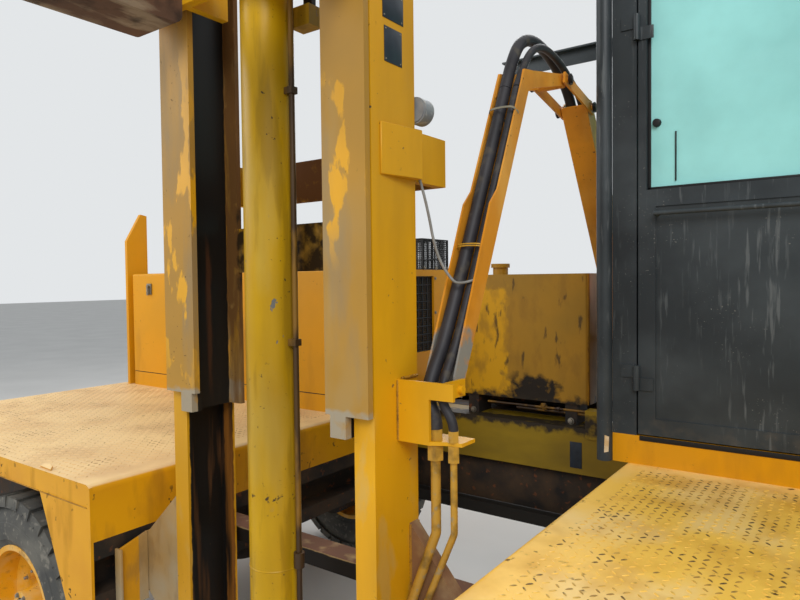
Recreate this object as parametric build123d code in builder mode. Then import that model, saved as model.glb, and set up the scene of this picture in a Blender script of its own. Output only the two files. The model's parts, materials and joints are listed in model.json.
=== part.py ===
"""Side-loading forklift truck, built piece by piece at its real size.

The truck stands on the ground, z = 0. Its front, the cab end, is +x. The side that the forks reach
out of is -y. The origin is on the ground under the middle of the overall box, forks included.
Everything is in millimetres and is shown as parked: mast run out to the near side, forks raised.
"""

import os
from math import cos, pi, radians, sin, tan

from build123d import *

os.makedirs("parts", exist_ok=True)

# Overall sizes
OVERALL_LENGTH = 5110.0
CHASSIS_WIDTH = 2320.0
FORK_OVERHANG = 1080.0  # how far the fork tips stand out past the near side of the deck
FRONT = OVERALL_LENGTH / 2
REAR = -FRONT
FAR = (CHASSIS_WIDTH + FORK_OVERHANG) / 2
NEAR = FAR - CHASSIS_WIDTH
MIDDLE = (NEAR + FAR) / 2  # centreline of the chassis

# Clearances
FIT = 0.3  # between round pieces that run or seat on each other
RUN = 6.0  # between pieces that slide past each other

# Deck and well
DECK_Z = 1060.0
DECK_PLATE = 8.0
SKIRT_PLATE = 10.0
EDGE_DEPTH = 80.0  # the folded edge strip along the near and far sides
END_DEPTH = 190.0  # the deeper skirt across the front and the rear end
WELL_X = 135.0
WELL_WIDTH = 1388.0
WELL_REAR = WELL_X - WELL_WIDTH / 2
WELL_FRONT = WELL_X + WELL_WIDTH / 2
EDGE_RADIUS = 25.0
SIDE_PLATE_Z = 619.0
SIDE_PLATE_TOP = 346.0  # length of the side plate under the edge strip
SIDE_PLATE_FOOT = 174.0  # and along its foot
FRONT_SIDE_PLATE = 110.0

# Tracks for the mast trolley, one each side of the well
TRACK_BOTTOM = 620.0
TRACK_TOP = 864.0
TRACK_SLOT_LOW = 680.0
TRACK_SLOT_HIGH = 800.0
TRACK_SLOT_DEPTH = 90.0
TRACK_WEB = 20.0
TRACK_FAR_GAP = 60.0
TRACK_OUTER = TRACK_SLOT_DEPTH + TRACK_WEB
TRACK_BEAM = 40.0  # the deck's cross beam behind each track

# Chassis
RAIL_OFFSET = 515.0  # of each long rail from the centreline
RAIL_WIDTH = 90.0
RAIL_LOW = 780.0
FAR_BEAM_FACE = FAR - 500.0
FAR_BEAM_DEPTH = 200.0
FAR_BEAM_LOW = 810.0
FAR_BEAM_TOP = 1030.0
SILL_LOW = 520.0
SILL_TOP = 580.0
SILL_DEPTH = 60.0
BUMPER_PLATE = 60.0
TOW_MEMBER = 60.0
TOW_JAW_WIDTH = 120.0
TOW_JAW_PLATE = 20.0
TOW_JAW_Z = (RAIL_LOW - 40.0, RAIL_LOW + 20.0)
TOW_BORE = 14.0
TOW_PIN = (REAR + 26.0, MIDDLE)
END_BLOCK_X = (WELL_X + 350.0, WELL_X + 430.0)  # small block on the far beam, by the cab
END_BLOCK_Z = (985.0, 1118.0)

# Wheels and axles
TYRE_RADIUS = 450.0
TYRE_WIDTH = 300.0
RIM_RADIUS = 240.0
RIM_FLANGE = 12.0
RIM_WALL = 10.0
RIM_INSET = 18.0
RIM_LIP = 6.0
DISC_IN = 26.0  # of the disc's rim weld outside the wheel's middle
DISC_DISH = 10.0
DISC_CONE = 60.0
HUB_INSET = 12.0
HUB_FOOT = 20.0
STUDS = 10
STUD_CIRCLE = 122.0
STUD_SIZE = 15.0
STUD_LENGTH = 34.0
WHEEL_INSET = 10.0  # of the tyre's outer wall inside the deck's side
TYRE_SHOULDER = 30.0
TYRE_BULGE = 90.0
LUGS = 18
LUG_DEPTH = 18.0
LUG_WIDTH = 72.0
LUG_FOOT = 400.0  # radius that the lugs reach down to on the shoulder
LUG_REACH = 100.0
LUG_INNER = 22.0
HUB_RADIUS = 74.0
SPINDLE_RADIUS = 40.0
WHEEL_Z = TYRE_RADIUS
WHEEL_OFFSET = CHASSIS_WIDTH / 2 - WHEEL_INSET - TYRE_WIDTH / 2
REAR_AXLE_X = -1170.0
FRONT_AXLE_X = 1585.0
AXLE_TUBE_RADIUS = 80.0
DRUM_RADIUS = 165.0
DRUM_WIDTH = 130.0
KINGPIN_RADIUS = 22.0
EYE_RADIUS = 52.0
EYE_WALL = 12.0
KINGPIN_OFFSET = WHEEL_OFFSET - TYRE_WIDTH / 2 - EYE_RADIUS - EYE_WALL - RUN
EYE_HEIGHT = 130.0
EAR_THICKNESS = 36.0
STEER_BEAM = (120.0, 110.0)

# Engine cover, radiator, load post and tank
COVER_FACE = FAR - 985.0
COVER_TOP = 1796.0
COVER_REAR = REAR + 132.0
COVER_FRONT = WELL_REAR
COVER_WALL = 20.0
COVER_EDGE = 12.0
LOUVRES = 8
LOUVRE_HEIGHT = 16.0
COVER_GAP_Z = DECK_Z + 88.0
COVER_GAP = (5.0, 6.0)  # height and depth of the line between the base and the hood
RADIATOR_SIZE = (200.0, 443.0)
RADIATOR_LOW = 1315.0
RADIATOR_FACE = FAR - 380.0
GUARD_SIZE = (240.0, 300.0, 184.0)
GRILLE_BAR = 6.0
GRILLE_PITCH = 48.0
GUARD_PITCH = 60.0
LOAD_POST_X = REAR + 94.0
LOAD_POST_PLATE = 25.0
LOAD_POST_WIDTH = 150.0
LOAD_POST_TOP = 2200.0
LOAD_POST_NOSE = 14.0  # how far it stands out past the cover's face
LOAD_POST_CHAMFER = 184.0
LOAD_POST_SLOPE = (8.0, 45.0)
TANK_FACE = FAR - 450.0
TANK_DEPTH = 400.0
TANK_LENGTH = 717.0
TANK_X = WELL_X - 12.0
TANK_LOW = 1130.0
TANK_TOP = 1760.0
TANK_EDGE = 18.0
TANK_FILLER = (110.0, 42.0, 40.0)  # place from the corner, radius and height of the neck
TANK_FOOT = 60.0
ENGINE_SIZE = (980.0, 560.0, 600.0)

# Cab
CAB_FACE = FAR - 1055.0
CAB_REAR = WELL_X + 652.0
CAB_FRONT = FRONT - 40.0
CAB_PLINTH_TOP = 1165.0
CAB_TOP = 2880.0
CAB_WALL = 45.0
CAB_SILL_Z = 2049.0
CAB_HEAD_Z = 2790.0
CAB_POST = 100.0
CAB_TUBE_RADIUS = 28.0
ROOF_THICKNESS = 60.0
ROOF_OVERHANG = 25.0
GLASS = 6.0
DOOR_GAP = 6.0
DOOR_LENGTH = 780.0
DOOR_REAR = CAB_REAR + 92.0
DOOR_FRAME = 28.0
DOOR_BORDER = 60.0  # of the pressed panel in its lower half
DOOR_PRESS = 5.0
RAIL_Z = 1962.0  # of the grab rail across the door
RAIL_RADIUS = 8.0
RAIL_STAND = 30.0
DOOR_THICKNESS = 40.0
HINGE_RADIUS = 11.0
HINGE_PIN = 5.0
HINGE_KNUCKLE = 45.0
HINGE_LEAF = 56.0
HINGE_PLATE = 5.0
BEAM_SECTION = (70.0, 75.0, 8.0)
SEAT_PLACE = 560.0
SEAT_SIZE = (500.0, 480.0)
SEAT_TOP = 1620.0
SEAT_CUSHION = 120.0
SEAT_BACK = 560.0
SEAT_RAKE = 80.0
CONSOLE_DEPTH = 300.0
CONSOLE_TOP = 1700.0
HAND_WHEEL = (180.0, 24.0)  # radius and thickness of the rim
WHEEL_TILT = 35.0
CAB_BEAM_REAR = WELL_X - 130.0
CAB_BEAM_Y = FAR - 350.0
CAB_BEAM_TOP = CAB_TOP - 25.0

# Mast
MAST_X = WELL_X - 67.5
MAST_WIDTH = 869.0
MAST_FACE = NEAR + 200.0
MAST_DEPTH = 200.0
MAST_FLANGE = 70.0
MAST_WEB = 20.0
MAST_FOOT = 100.0
MAST_TOP = 3000.0
YOKE_LOW = 2018.0
YOKE_TOP = 2160.0
YOKE_DEPTH = 340.0
YOKE_PLATE = 30.0
INNER_FOOT = 1376.0
INNER_TOE = 1314.0
INNER_TOP = 4100.0
INNER_PLATE = 20.0
INNER_PLATE_WIDTH = 150.0
INNER_CHANNEL = 72.0
INNER_WEB = 18.0
INNER_TIE_LOW = 1770.0
INNER_TIE_TOP = 1920.0
TIE_PLATE = 24.0
FOOT_TIE = 300.0
HEAD_TIE = 160.0
SEAT_PAD = 40.0  # under the lift cylinder

# Lift cylinder and chains
LIFT_Y = MAST_FACE + 50.0
LIFT_RADIUS = 80.0
LIFT_BORE = 56.0
LIFT_PIPE = 8.5
LIFT_CLIPS = (500.0, 1556.0, 2300.0)
LIFT_UNION = 900.0
LIFT_TOP = 2700.0
ROD_RADIUS = 50.0
CROSSHEAD = 70.0
CHAIN_OFFSET = 112.0
CHAIN_SECTION = (34.0, 18.0)
SHEAVE_RADIUS = 60.0
SHEAVE_Z = INNER_TOP - 110.0
SHEAVE_CHEEK = 20.0
SHEAVE_CHEEK_GAP = 30.0
LIFT_UP = 900.0  # left to rise from the parked height
ROD_ENGAGED = 300.0  # of the rod still in the barrel at the top
ROD_FOOT = LIFT_TOP - LIFT_UP - ROD_ENGAGED
CHAIN_ANCHOR_Z = 2560.0
CARRIAGE_ANCHOR_Z = 3000.0

# Carriage and forks
FORK_LOW = 2530.0
FORK_WIDTH = 205.0
FORK_THICKNESS = 62.0
FORK_TIP_THICKNESS = 22.0
FORK_SHANK = 60.0
FORK_HEIGHT = 640.0
FORK_SPREAD = 671.0  # between the middles of the two forks
CARRIAGE_PLATE = 30.0
CARRIAGE_FACE = MAST_FACE - INNER_PLATE - RUN - 24.0
CARRIAGE_BAR = 110.0
CARRIAGE_BRACKET = 240.0
FORK_TAPER = 500.0
FORK_HOOK = 28.0
FORK_HEEL = 30.0
FORK_CORNER = 60.0
ROLLER_RADIUS = 48.0

# Trolley
TROLLEY_SIDE = 40.0
TROLLEY_LOW = 640.0
TROLLEY_TOP = 840.0
TROLLEY_REAR = MAST_FACE + 350.0
TROLLEY_ROLLER_RADIUS = 55.0
TROLLEY_ROLLER_WIDTH = 70.0
TROLLEY_ROLLER_SPREAD = 250.0
TROLLEY_TIE = (90.0, 112.0)
TROLLEY_TIE_LOW = 785.0
GUSSET_PLATE = 20.0
GUSSET_DROP = 160.0
GUSSET_TOP = 1007.0
STRUT = (155.0, 42.0)  # its place behind the mast's face and its thickness
STRUT_TOP = 1050.0
REACH = 1100.0

# Hose guide: an arm on the mast, two straps and an arm on the chassis; points are (y, z)
ARM_X = WELL_X + 462.0
ARM_WIDTH = 96.0
ARM_PLATE = 6.0
ARM_FOOT = (MAST_FACE + 150.0, 1425.0)
ARM_KINK = (MAST_FACE + 385.0, 1965.0)  # where the lower, deeper half of the channel ends
ARM_STEP = (MAST_FACE + 432.0, 2010.0)
ARM_HEAD = (MAST_FACE + 624.0, 2416.0)
ARM_HEAD_DEPTH = 64.0
ARM_FOOT_DEPTH = 60.0
ARM_LIP_Z = 1590.0
ARM_LIP = 22.0
BOSS_RADIUS = 26.0
PIVOT_A = (MAST_FACE + 952.0, 2456.0)
PIVOT_B = (MAST_FACE + 1205.0, 2408.0)
PIVOT_C = (FAR - 270.0, 1437.0)
STRAP_SECTION = (8.0, 40.0)
STRAP_GAP = 57.0  # of each strap's inner face from the middle of the arms
CHASSIS_ARM_WIDTH = 104.0
CHASSIS_ARM_WEB = 20.0  # of its web's outer face from the line between its two pivots
CHASSIS_ARM_DEPTHS = (70.0, 130.0)  # at the top and at the foot
PIVOT_PIN = 10.0
STAND_PLATE = 12.0
ARM_BULKHEAD = 190.0  # of the plate that the hoses end at, above the lowest pivot
HOSES = ((ARM_X - 18.0, 20.0), (ARM_X + 24.0, 13.0))  # place along x, radius

# Hose bracket on the mast and its steel pipes
BRACKET_Y = MAST_FACE + 100.0
BRACKET_LENGTH = 180.0
BRACKET_Z = (1297.0, 1466.0)
BRACKET_PLATE = 10.0
BRACKET_NOTCH = (75.0, 123.0)
PIPE_Y = MAST_FACE + 134.0
NUT_LENGTH = 44.0
FERRULE_LENGTH = 30.0
CABLE_RADIUS = 4.0
LAMP_RADIUS = 38.0

# Steps
STEP_X = FRONT - 420.0
STEP_LENGTH = 340.0
STEP_DEPTH = 140.0
STEP_PLATE = 8.0
STEP_Z = (420.0, 700.0)


def block(x, y, z, mode=Mode.ADD):
    """A straight-sided block between two values along each axis."""
    with Locations(((x[0] + x[1]) / 2, (y[0] + y[1]) / 2, (z[0] + z[1]) / 2)):
        Box(x[1] - x[0], y[1] - y[0], z[1] - z[0], mode=mode)


def span(middle, size):
    """The two ends of a length about its middle."""
    return (middle - size / 2, middle + size / 2)


def outline(plane, points, amount, mode=Mode.ADD):
    """A closed straight-sided outline on a plane, pushed out by an amount."""
    with BuildSketch(plane) as profile:
        with BuildLine():
            Polyline(*points, close=True)
        make_face()
    extrude(profile.sketch, amount=amount, mode=mode)


def rod(x, y, z, radius, bore=0.0, mode=Mode.ADD):
    """A round bar or tube along the one axis that is given as a pair of values."""
    if isinstance(x, tuple):
        plane, length = Plane((x[0], y, z), x_dir=(0, 1, 0), z_dir=(1, 0, 0)), x[1] - x[0]
    elif isinstance(y, tuple):
        plane, length = Plane((x, y[0], z), x_dir=(1, 0, 0), z_dir=(0, 1, 0)), y[1] - y[0]
    else:
        plane, length = Plane((x, y, z[0]), x_dir=(1, 0, 0), z_dir=(0, 0, 1)), z[1] - z[0]
    with BuildSketch(plane) as profile:
        Circle(radius)
        if bore:
            Circle(bore, mode=Mode.SUBTRACT)
    extrude(profile.sketch, amount=length, mode=mode)


def tube(points, bend, radius, bore=0.0):
    """A round tube or bar along straight runs between points, bent to a radius at each corner."""
    with BuildLine() as route:
        if len(points) == 2:
            Line(*points)
        else:
            FilletPolyline(*points, radius=bend)
    first = route.wires()[0]
    section = Plane(origin=first @ 0, z_dir=first % 0)
    with BuildSketch(section) as profile:
        Circle(radius)
        if bore:
            Circle(bore, mode=Mode.SUBTRACT)
    sweep(profile.sketch, path=first)


def side_plane(x):
    """The plane across the truck at x, with its own x along +y and its own y up."""
    return Plane((x, 0, 0), x_dir=(0, 1, 0), z_dir=(1, 0, 0))


def front_plane(y):
    """The plane along the truck at y, facing the near side, with its own x along +x."""
    return Plane((0, y, 0), x_dir=(1, 0, 0), z_dir=(0, -1, 0))


def save(piece, name):
    """Label a finished piece and write it under its own name."""
    piece.part.label = name
    export_step(piece.part, f"parts/{name}.step")


# Chassis frame: long rails under both decks, beams behind the tracks, and the far side
RAILS = (MIDDLE - RAIL_OFFSET, MIDDLE + RAIL_OFFSET)
DECK_UNDER = DECK_Z - DECK_PLATE
REAR_BEAM = (WELL_REAR - TRACK_OUTER - TRACK_BEAM, WELL_REAR - TRACK_OUTER)
FRONT_BEAM = (WELL_FRONT + TRACK_OUTER, WELL_FRONT + TRACK_OUTER + TRACK_BEAM)
with BuildPart() as frame:
    for rail in RAILS:
        rail_y = (rail - RAIL_WIDTH / 2, rail + RAIL_WIDTH / 2)
        block((REAR + BUMPER_PLATE, REAR_BEAM[1]), rail_y, (RAIL_LOW, DECK_UNDER))
        block((FRONT_BEAM[0], FRONT - BUMPER_PLATE), rail_y, (RAIL_LOW, DECK_UNDER))
        for axle in (REAR_AXLE_X, FRONT_AXLE_X):
            foot = WHEEL_Z + AXLE_TUBE_RADIUS
            outline(
                front_plane(rail_y[0]),
                (
                    (axle - 70, foot),
                    (axle + 70, foot),
                    (axle + 150, RAIL_LOW),
                    (axle - 150, RAIL_LOW),
                ),
                -RAIL_WIDTH,
            )
    for beam in (REAR_BEAM, FRONT_BEAM):
        block(beam, (NEAR + SKIRT_PLATE, FAR - SKIRT_PLATE), (TRACK_BOTTOM, DECK_UNDER))
    for end in (REAR, FRONT - BUMPER_PLATE):
        block((end, end + BUMPER_PLATE), (NEAR, FAR), (DECK_Z - END_DEPTH, DECK_UNDER))
    far_beam_y = (FAR_BEAM_FACE, FAR_BEAM_FACE + FAR_BEAM_DEPTH)
    block((WELL_REAR, WELL_FRONT), far_beam_y, (FAR_BEAM_LOW, FAR_BEAM_TOP))
    for end in (
        (REAR_BEAM[0], WELL_REAR),
        (WELL_FRONT, FRONT_BEAM[1]),
    ):
        block(end, far_beam_y, (TRACK_TOP, DECK_Z - 2 * EDGE_RADIUS))
        block(end, (FAR_BEAM_FACE, FAR_BEAM_FACE + SILL_DEPTH), (SILL_LOW, TRACK_BOTTOM))
    block(
        (REAR_BEAM[0], FRONT_BEAM[1]),
        (FAR_BEAM_FACE, FAR_BEAM_FACE + SILL_DEPTH),
        (SILL_LOW, SILL_TOP),
    )
    block(END_BLOCK_X, (FAR_BEAM_FACE - BRACKET_PLATE, FAR_BEAM_FACE + SILL_DEPTH), END_BLOCK_Z)
    member_x = (REAR + BUMPER_PLATE, REAR + BUMPER_PLATE + TOW_MEMBER)
    block(member_x, (RAILS[0], RAILS[1]), (RAIL_LOW - TOW_MEMBER, RAIL_LOW + TOW_MEMBER))
    for jaw in TOW_JAW_Z:
        block((REAR, member_x[0]), span(MIDDLE, TOW_JAW_WIDTH), (jaw, jaw + TOW_JAW_PLATE))
        rod(*TOW_PIN, (jaw, jaw + TOW_JAW_PLATE), TOW_BORE, mode=Mode.SUBTRACT)
save(frame, "chassis_frame")

with BuildPart() as tracks:
    for sign, edge in ((-1, WELL_REAR), (1, WELL_FRONT)):
        with BuildSketch(front_plane(NEAR + SKIRT_PLATE)):
            with Locations((edge + sign * TRACK_OUTER / 2, (TRACK_BOTTOM + TRACK_TOP) / 2)):
                Rectangle(TRACK_OUTER, TRACK_TOP - TRACK_BOTTOM)
            slot_middle = (TRACK_SLOT_LOW + TRACK_SLOT_HIGH) / 2
            with Locations((edge + sign * TRACK_SLOT_DEPTH / 2, slot_middle)):
                Rectangle(
                    TRACK_SLOT_DEPTH,
                    TRACK_SLOT_HIGH - TRACK_SLOT_LOW,
                    mode=Mode.SUBTRACT,
                )
        extrude(amount=-(CHASSIS_WIDTH - 2 * SKIRT_PLATE - TRACK_FAR_GAP))
        track_end = FAR - SKIRT_PLATE - TRACK_FAR_GAP
        block(
            tuple(sorted((edge, edge + sign * TRACK_SLOT_DEPTH))),
            (track_end - TRACK_WEB, track_end),
            (TRACK_SLOT_LOW, TRACK_SLOT_HIGH),
        )
save(tracks, "reach_tracks")

# Decks, one at each end of the well, with their skirts and side plates
def folded_edge(edge, sign):
    """The deck plate's rounded fold down into the well, from its edge towards sign along x."""
    for y, low in ((NEAR, TRACK_TOP), (FAR_BEAM_FACE, DECK_Z - 2 * EDGE_RADIUS)):
        until = FAR_BEAM_FACE if y == NEAR else FAR
        with BuildSketch(front_plane(y)) as profile:
            with BuildLine():
                Polyline(
                    (edge, low),
                    (edge, DECK_Z),
                    (edge + sign * 2 * EDGE_RADIUS, DECK_Z),
                    (edge + sign * 2 * EDGE_RADIUS, DECK_UNDER),
                    (edge + sign * DECK_PLATE, DECK_UNDER),
                    (edge + sign * DECK_PLATE, low),
                    close=True,
                )
            make_face()
            outer_corner = profile.vertices().sort_by_distance((edge, DECK_Z))[0]
            fillet(outer_corner, EDGE_RADIUS)
            inner_corner = (edge + sign * DECK_PLATE, DECK_UNDER)
            fillet(profile.vertices().sort_by_distance(inner_corner)[0], EDGE_RADIUS - DECK_PLATE)
        extrude(profile.sketch, amount=y - until)


with BuildPart() as deck_rear:
    block((REAR, WELL_REAR - 2 * EDGE_RADIUS), (NEAR, FAR), (DECK_UNDER, DECK_Z))
    folded_edge(WELL_REAR, -1)
    for side in (NEAR, FAR - SKIRT_PLATE):
        block(
            (REAR + BUMPER_PLATE, WELL_REAR),
            (side, side + SKIRT_PLATE),
            (DECK_Z - EDGE_DEPTH, DECK_UNDER),
        )
        outline(
            front_plane(side),
            (
                (WELL_REAR, SIDE_PLATE_Z),
                (WELL_REAR, DECK_Z - EDGE_DEPTH),
                (WELL_REAR - SIDE_PLATE_TOP, DECK_Z - EDGE_DEPTH),
                (WELL_REAR - SIDE_PLATE_FOOT, SIDE_PLATE_Z),
            ),
            -SKIRT_PLATE,
        )
save(deck_rear, "deck_rear")

with BuildPart() as deck_front:
    block((WELL_FRONT + 2 * EDGE_RADIUS, FRONT), (NEAR, FAR), (DECK_UNDER, DECK_Z))
    folded_edge(WELL_FRONT, 1)
    for side in (NEAR, FAR - SKIRT_PLATE):
        block(
            (WELL_FRONT, FRONT - BUMPER_PLATE),
            (side, side + SKIRT_PLATE),
            (DECK_Z - EDGE_DEPTH, DECK_UNDER),
        )
        block(
            (WELL_FRONT, WELL_FRONT + FRONT_SIDE_PLATE),
            (side, side + SKIRT_PLATE),
            (SIDE_PLATE_Z, DECK_Z - EDGE_DEPTH),
        )
save(deck_front, "deck_front")

# Engine cover: a hollow hood on its base, with a gap line between them and an open radiator end
with BuildPart() as engine_cover:
    block((COVER_REAR, COVER_FRONT), (COVER_FACE, FAR), (DECK_Z, COVER_TOP))
    fillet(engine_cover.edges().filter_by(Axis.X).group_by(Axis.Z)[-1], COVER_EDGE)
    block(
        (COVER_REAR + COVER_WALL, COVER_FRONT - COVER_WALL),
        (COVER_FACE + COVER_WALL, FAR - COVER_WALL),
        (DECK_Z, COVER_TOP - COVER_WALL),
        mode=Mode.SUBTRACT,
    )
    grille_y = (RADIATOR_FACE, RADIATOR_FACE + RADIATOR_SIZE[0])
    grille_z = (RADIATOR_LOW, RADIATOR_LOW + RADIATOR_SIZE[1])
    block((COVER_FRONT - COVER_WALL, COVER_FRONT), grille_y, grille_z, mode=Mode.SUBTRACT)
    gap_z = (COVER_GAP_Z, COVER_GAP_Z + COVER_GAP[0])
    block(
        (COVER_REAR, COVER_FRONT),
        (COVER_FACE, COVER_FACE + COVER_GAP[1]),
        gap_z,
        mode=Mode.SUBTRACT,
    )
    for x in (COVER_REAR, COVER_FRONT - COVER_GAP[1]):
        block((x, x + COVER_GAP[1]), (COVER_FACE, FAR), gap_z, mode=Mode.SUBTRACT)
    for i in range(LOUVRES):
        z = COVER_GAP_Z + 120 + i * 60
        block(
            (COVER_REAR, COVER_REAR + COVER_WALL),
            (COVER_FACE + 200, FAR - 200),
            (z, z + LOUVRE_HEIGHT),
            mode=Mode.SUBTRACT,
        )
save(engine_cover, "engine_cover")

with BuildPart() as cover_latch:
    latch_x = COVER_REAR + 190.0
    block(span(latch_x, 46), (COVER_FACE - 8, COVER_FACE), span(COVER_TOP - 100, 70))
    rod(latch_x, (COVER_FACE - 22, COVER_FACE - 8), COVER_TOP - 84, 9)
    block(span(latch_x, 14), (COVER_FACE - 22, COVER_FACE - 14), (COVER_TOP - 140, COVER_TOP - 84))
save(cover_latch, "cover_latch")


def grid(first, second, place, wire, pitch):
    """A welded grid of square bars; first and second are (axis, low, high) of the sheet's edges."""
    axes = {first[0]: first[1:], second[0]: second[1:]}
    fixed = place[0]
    for along, across in ((first, second), (second, first)):
        count = round((across[2] - across[1] - wire) / pitch)
        step = (across[2] - across[1] - wire) / count
        for i in range(count + 1):
            low = across[1] + i * step
            box = dict(axes)
            box[across[0]] = (low, low + wire)
            box[fixed] = place[1]
            block(box["x"], box["y"], box["z"])


with BuildPart() as radiator_grille:
    grid(
        ("y", *grille_y),
        ("z", *grille_z),
        ("x", (COVER_FRONT - COVER_WALL, COVER_FRONT - COVER_WALL + GRILLE_BAR)),
        GRILLE_BAR,
        GRILLE_PITCH,
    )
save(radiator_grille, "radiator_grille")

with BuildPart() as top_guard:
    guard_x = (COVER_FRONT - GUARD_SIZE[0], COVER_FRONT)
    guard_y = (FAR - GUARD_SIZE[1], FAR - COVER_EDGE)
    guard_z = (COVER_TOP, COVER_TOP + GUARD_SIZE[2])
    for x in (guard_x[0], guard_x[1] - GRILLE_BAR):
        grid(("y", *guard_y), ("z", *guard_z), ("x", (x, x + GRILLE_BAR)), GRILLE_BAR, GUARD_PITCH)
    for y in (guard_y[0], guard_y[1] - GRILLE_BAR):
        grid(("x", *guard_x), ("z", *guard_z), ("y", (y, y + GRILLE_BAR)), GRILLE_BAR, GUARD_PITCH)
    top_z = (guard_z[1] - GRILLE_BAR, guard_z[1])
    grid(("x", *guard_x), ("y", *guard_y), ("z", top_z), GRILLE_BAR, GUARD_PITCH)
save(top_guard, "top_guard")

with BuildPart() as engine:
    block(
        span((COVER_REAR + COVER_FRONT) / 2, ENGINE_SIZE[0]),
        span((COVER_FACE + FAR) / 2, ENGINE_SIZE[1]),
        (DECK_Z, DECK_Z + ENGINE_SIZE[2]),
    )
save(engine, "engine")

with BuildPart() as load_post:
    post_near = COVER_FACE - LOAD_POST_NOSE
    post_far = post_near + LOAD_POST_WIDTH
    outline(
        side_plane(LOAD_POST_X - LOAD_POST_PLATE),
        (
            (post_near, DECK_Z),
            (post_far, DECK_Z),
            (post_far, LOAD_POST_TOP - LOAD_POST_SLOPE[0]),
            (post_far - LOAD_POST_SLOPE[1], LOAD_POST_TOP),
            (post_near, LOAD_POST_TOP - LOAD_POST_CHAMFER),
        ),
        LOAD_POST_PLATE,
    )
save(load_post, "load_post")

# Tank over the far side beam, on two feet
with BuildPart() as tank:
    tank_x = span(TANK_X, TANK_LENGTH)
    block(tank_x, (TANK_FACE, TANK_FACE + TANK_DEPTH), (TANK_LOW, TANK_TOP))
    fillet(tank.edges().filter_by(Axis.Z), TANK_EDGE)
    filler = (tank_x[0] + TANK_FILLER[0], TANK_FACE + TANK_DEPTH - TANK_FILLER[0])
    rod(*filler, (TANK_TOP, TANK_TOP + TANK_FILLER[2]), TANK_FILLER[1])
    rod(*filler, (TANK_TOP + TANK_FILLER[2], TANK_TOP + TANK_FILLER[2] + 22), TANK_FILLER[1] + 10)
save(tank, "tank")

with BuildPart() as tank_feet:
    for x in (tank_x[0] + TANK_FOOT, tank_x[1] - 2 * TANK_FOOT):
        block(
            (x, x + TANK_FOOT),
            (TANK_FACE + 10, FAR_BEAM_FACE + FAR_BEAM_DEPTH),
            (FAR_BEAM_TOP, TANK_LOW),
        )
save(tank_feet, "tank_feet")

# Cab: a hollow shell with window and door openings, its roof, glass, door and inside
CAB_X = (CAB_REAR, CAB_FRONT)
CAB_Y = (CAB_FACE, FAR - 20)
DOOR_X = (DOOR_REAR, DOOR_REAR + DOOR_LENGTH)
DOOR_Z = (CAB_PLINTH_TOP + DOOR_GAP, CAB_HEAD_Z + 30)
FRONT_WINDOW_X = (DOOR_X[1] + CAB_POST, CAB_FRONT - CAB_POST)
HINGE_AXIS = (DOOR_REAR - DOOR_GAP / 2, CAB_FACE - HINGE_RADIUS - 1)
HINGE_Z = (DOOR_Z[0] + 160, DOOR_Z[1] - 240)


def hinge_half(sign, offset):
    """One leaf and knuckle of each door hinge, on the side of its axis that sign gives."""
    for z in HINGE_Z:
        knuckle_z = (z + offset, z + offset + HINGE_KNUCKLE - FIT)
        rod(*HINGE_AXIS, knuckle_z, HINGE_RADIUS)
        block(
            tuple(sorted((HINGE_AXIS[0] + sign * 4, HINGE_AXIS[0] + sign * HINGE_LEAF))),
            (CAB_FACE - HINGE_PLATE, CAB_FACE),
            knuckle_z,
        )


with BuildPart() as cab_plinth:
    block(CAB_X, CAB_Y, (DECK_Z, CAB_PLINTH_TOP))
    block(
        (CAB_X[0] + CAB_WALL, CAB_X[1] - CAB_WALL),
        (CAB_Y[0] + CAB_WALL, CAB_Y[1] - CAB_WALL),
        (DECK_Z, CAB_PLINTH_TOP - DECK_PLATE),
        mode=Mode.SUBTRACT,
    )
save(cab_plinth, "cab_plinth")

with BuildPart() as cab_shell:
    block(CAB_X, CAB_Y, (CAB_PLINTH_TOP, CAB_TOP))
    block(
        (CAB_X[0] + CAB_WALL, CAB_X[1] - CAB_WALL),
        (CAB_Y[0] + CAB_WALL, CAB_Y[1] - CAB_WALL),
        (CAB_PLINTH_TOP, CAB_TOP),
        mode=Mode.SUBTRACT,
    )
    block(
        (DOOR_X[0] - DOOR_GAP, DOOR_X[1] + DOOR_GAP),
        (CAB_Y[0], CAB_Y[0] + CAB_WALL),
        (CAB_PLINTH_TOP, DOOR_Z[1] + DOOR_GAP),
        mode=Mode.SUBTRACT,
    )
    block(
        FRONT_WINDOW_X,
        (CAB_Y[0], CAB_Y[0] + CAB_WALL),
        (CAB_SILL_Z, CAB_HEAD_Z),
        mode=Mode.SUBTRACT,
    )
    block(
        (CAB_X[0] + CAB_POST, CAB_X[1] - CAB_POST),
        (CAB_Y[1] - CAB_WALL, CAB_Y[1]),
        (CAB_SILL_Z, CAB_HEAD_Z),
        mode=Mode.SUBTRACT,
    )
    for wall in (CAB_X[0], CAB_X[1] - CAB_WALL):
        block(
            (wall, wall + CAB_WALL),
            (CAB_Y[0] + CAB_POST, CAB_Y[1] - CAB_POST),
            (CAB_SILL_Z, CAB_HEAD_Z),
            mode=Mode.SUBTRACT,
        )
    hinge_half(-1, HINGE_KNUCKLE)
    for z in HINGE_Z:
        rod(
            *HINGE_AXIS,
            (z + HINGE_KNUCKLE, z + 2 * HINGE_KNUCKLE),
            HINGE_PIN + FIT,
            mode=Mode.SUBTRACT,
        )
save(cab_shell, "cab_shell")

with BuildPart() as cab_roof:
    block(
        (CAB_X[0] - ROOF_OVERHANG, CAB_X[1] + ROOF_OVERHANG),
        (CAB_Y[0] - ROOF_OVERHANG, CAB_Y[1] + 20),
        (CAB_TOP, CAB_TOP + ROOF_THICKNESS),
    )
    fillet(cab_roof.edges().filter_by(Axis.Z), 40)
    chamfer(cab_roof.faces().sort_by(Axis.Z)[-1].edges(), 14)
save(cab_roof, "cab_roof")

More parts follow.
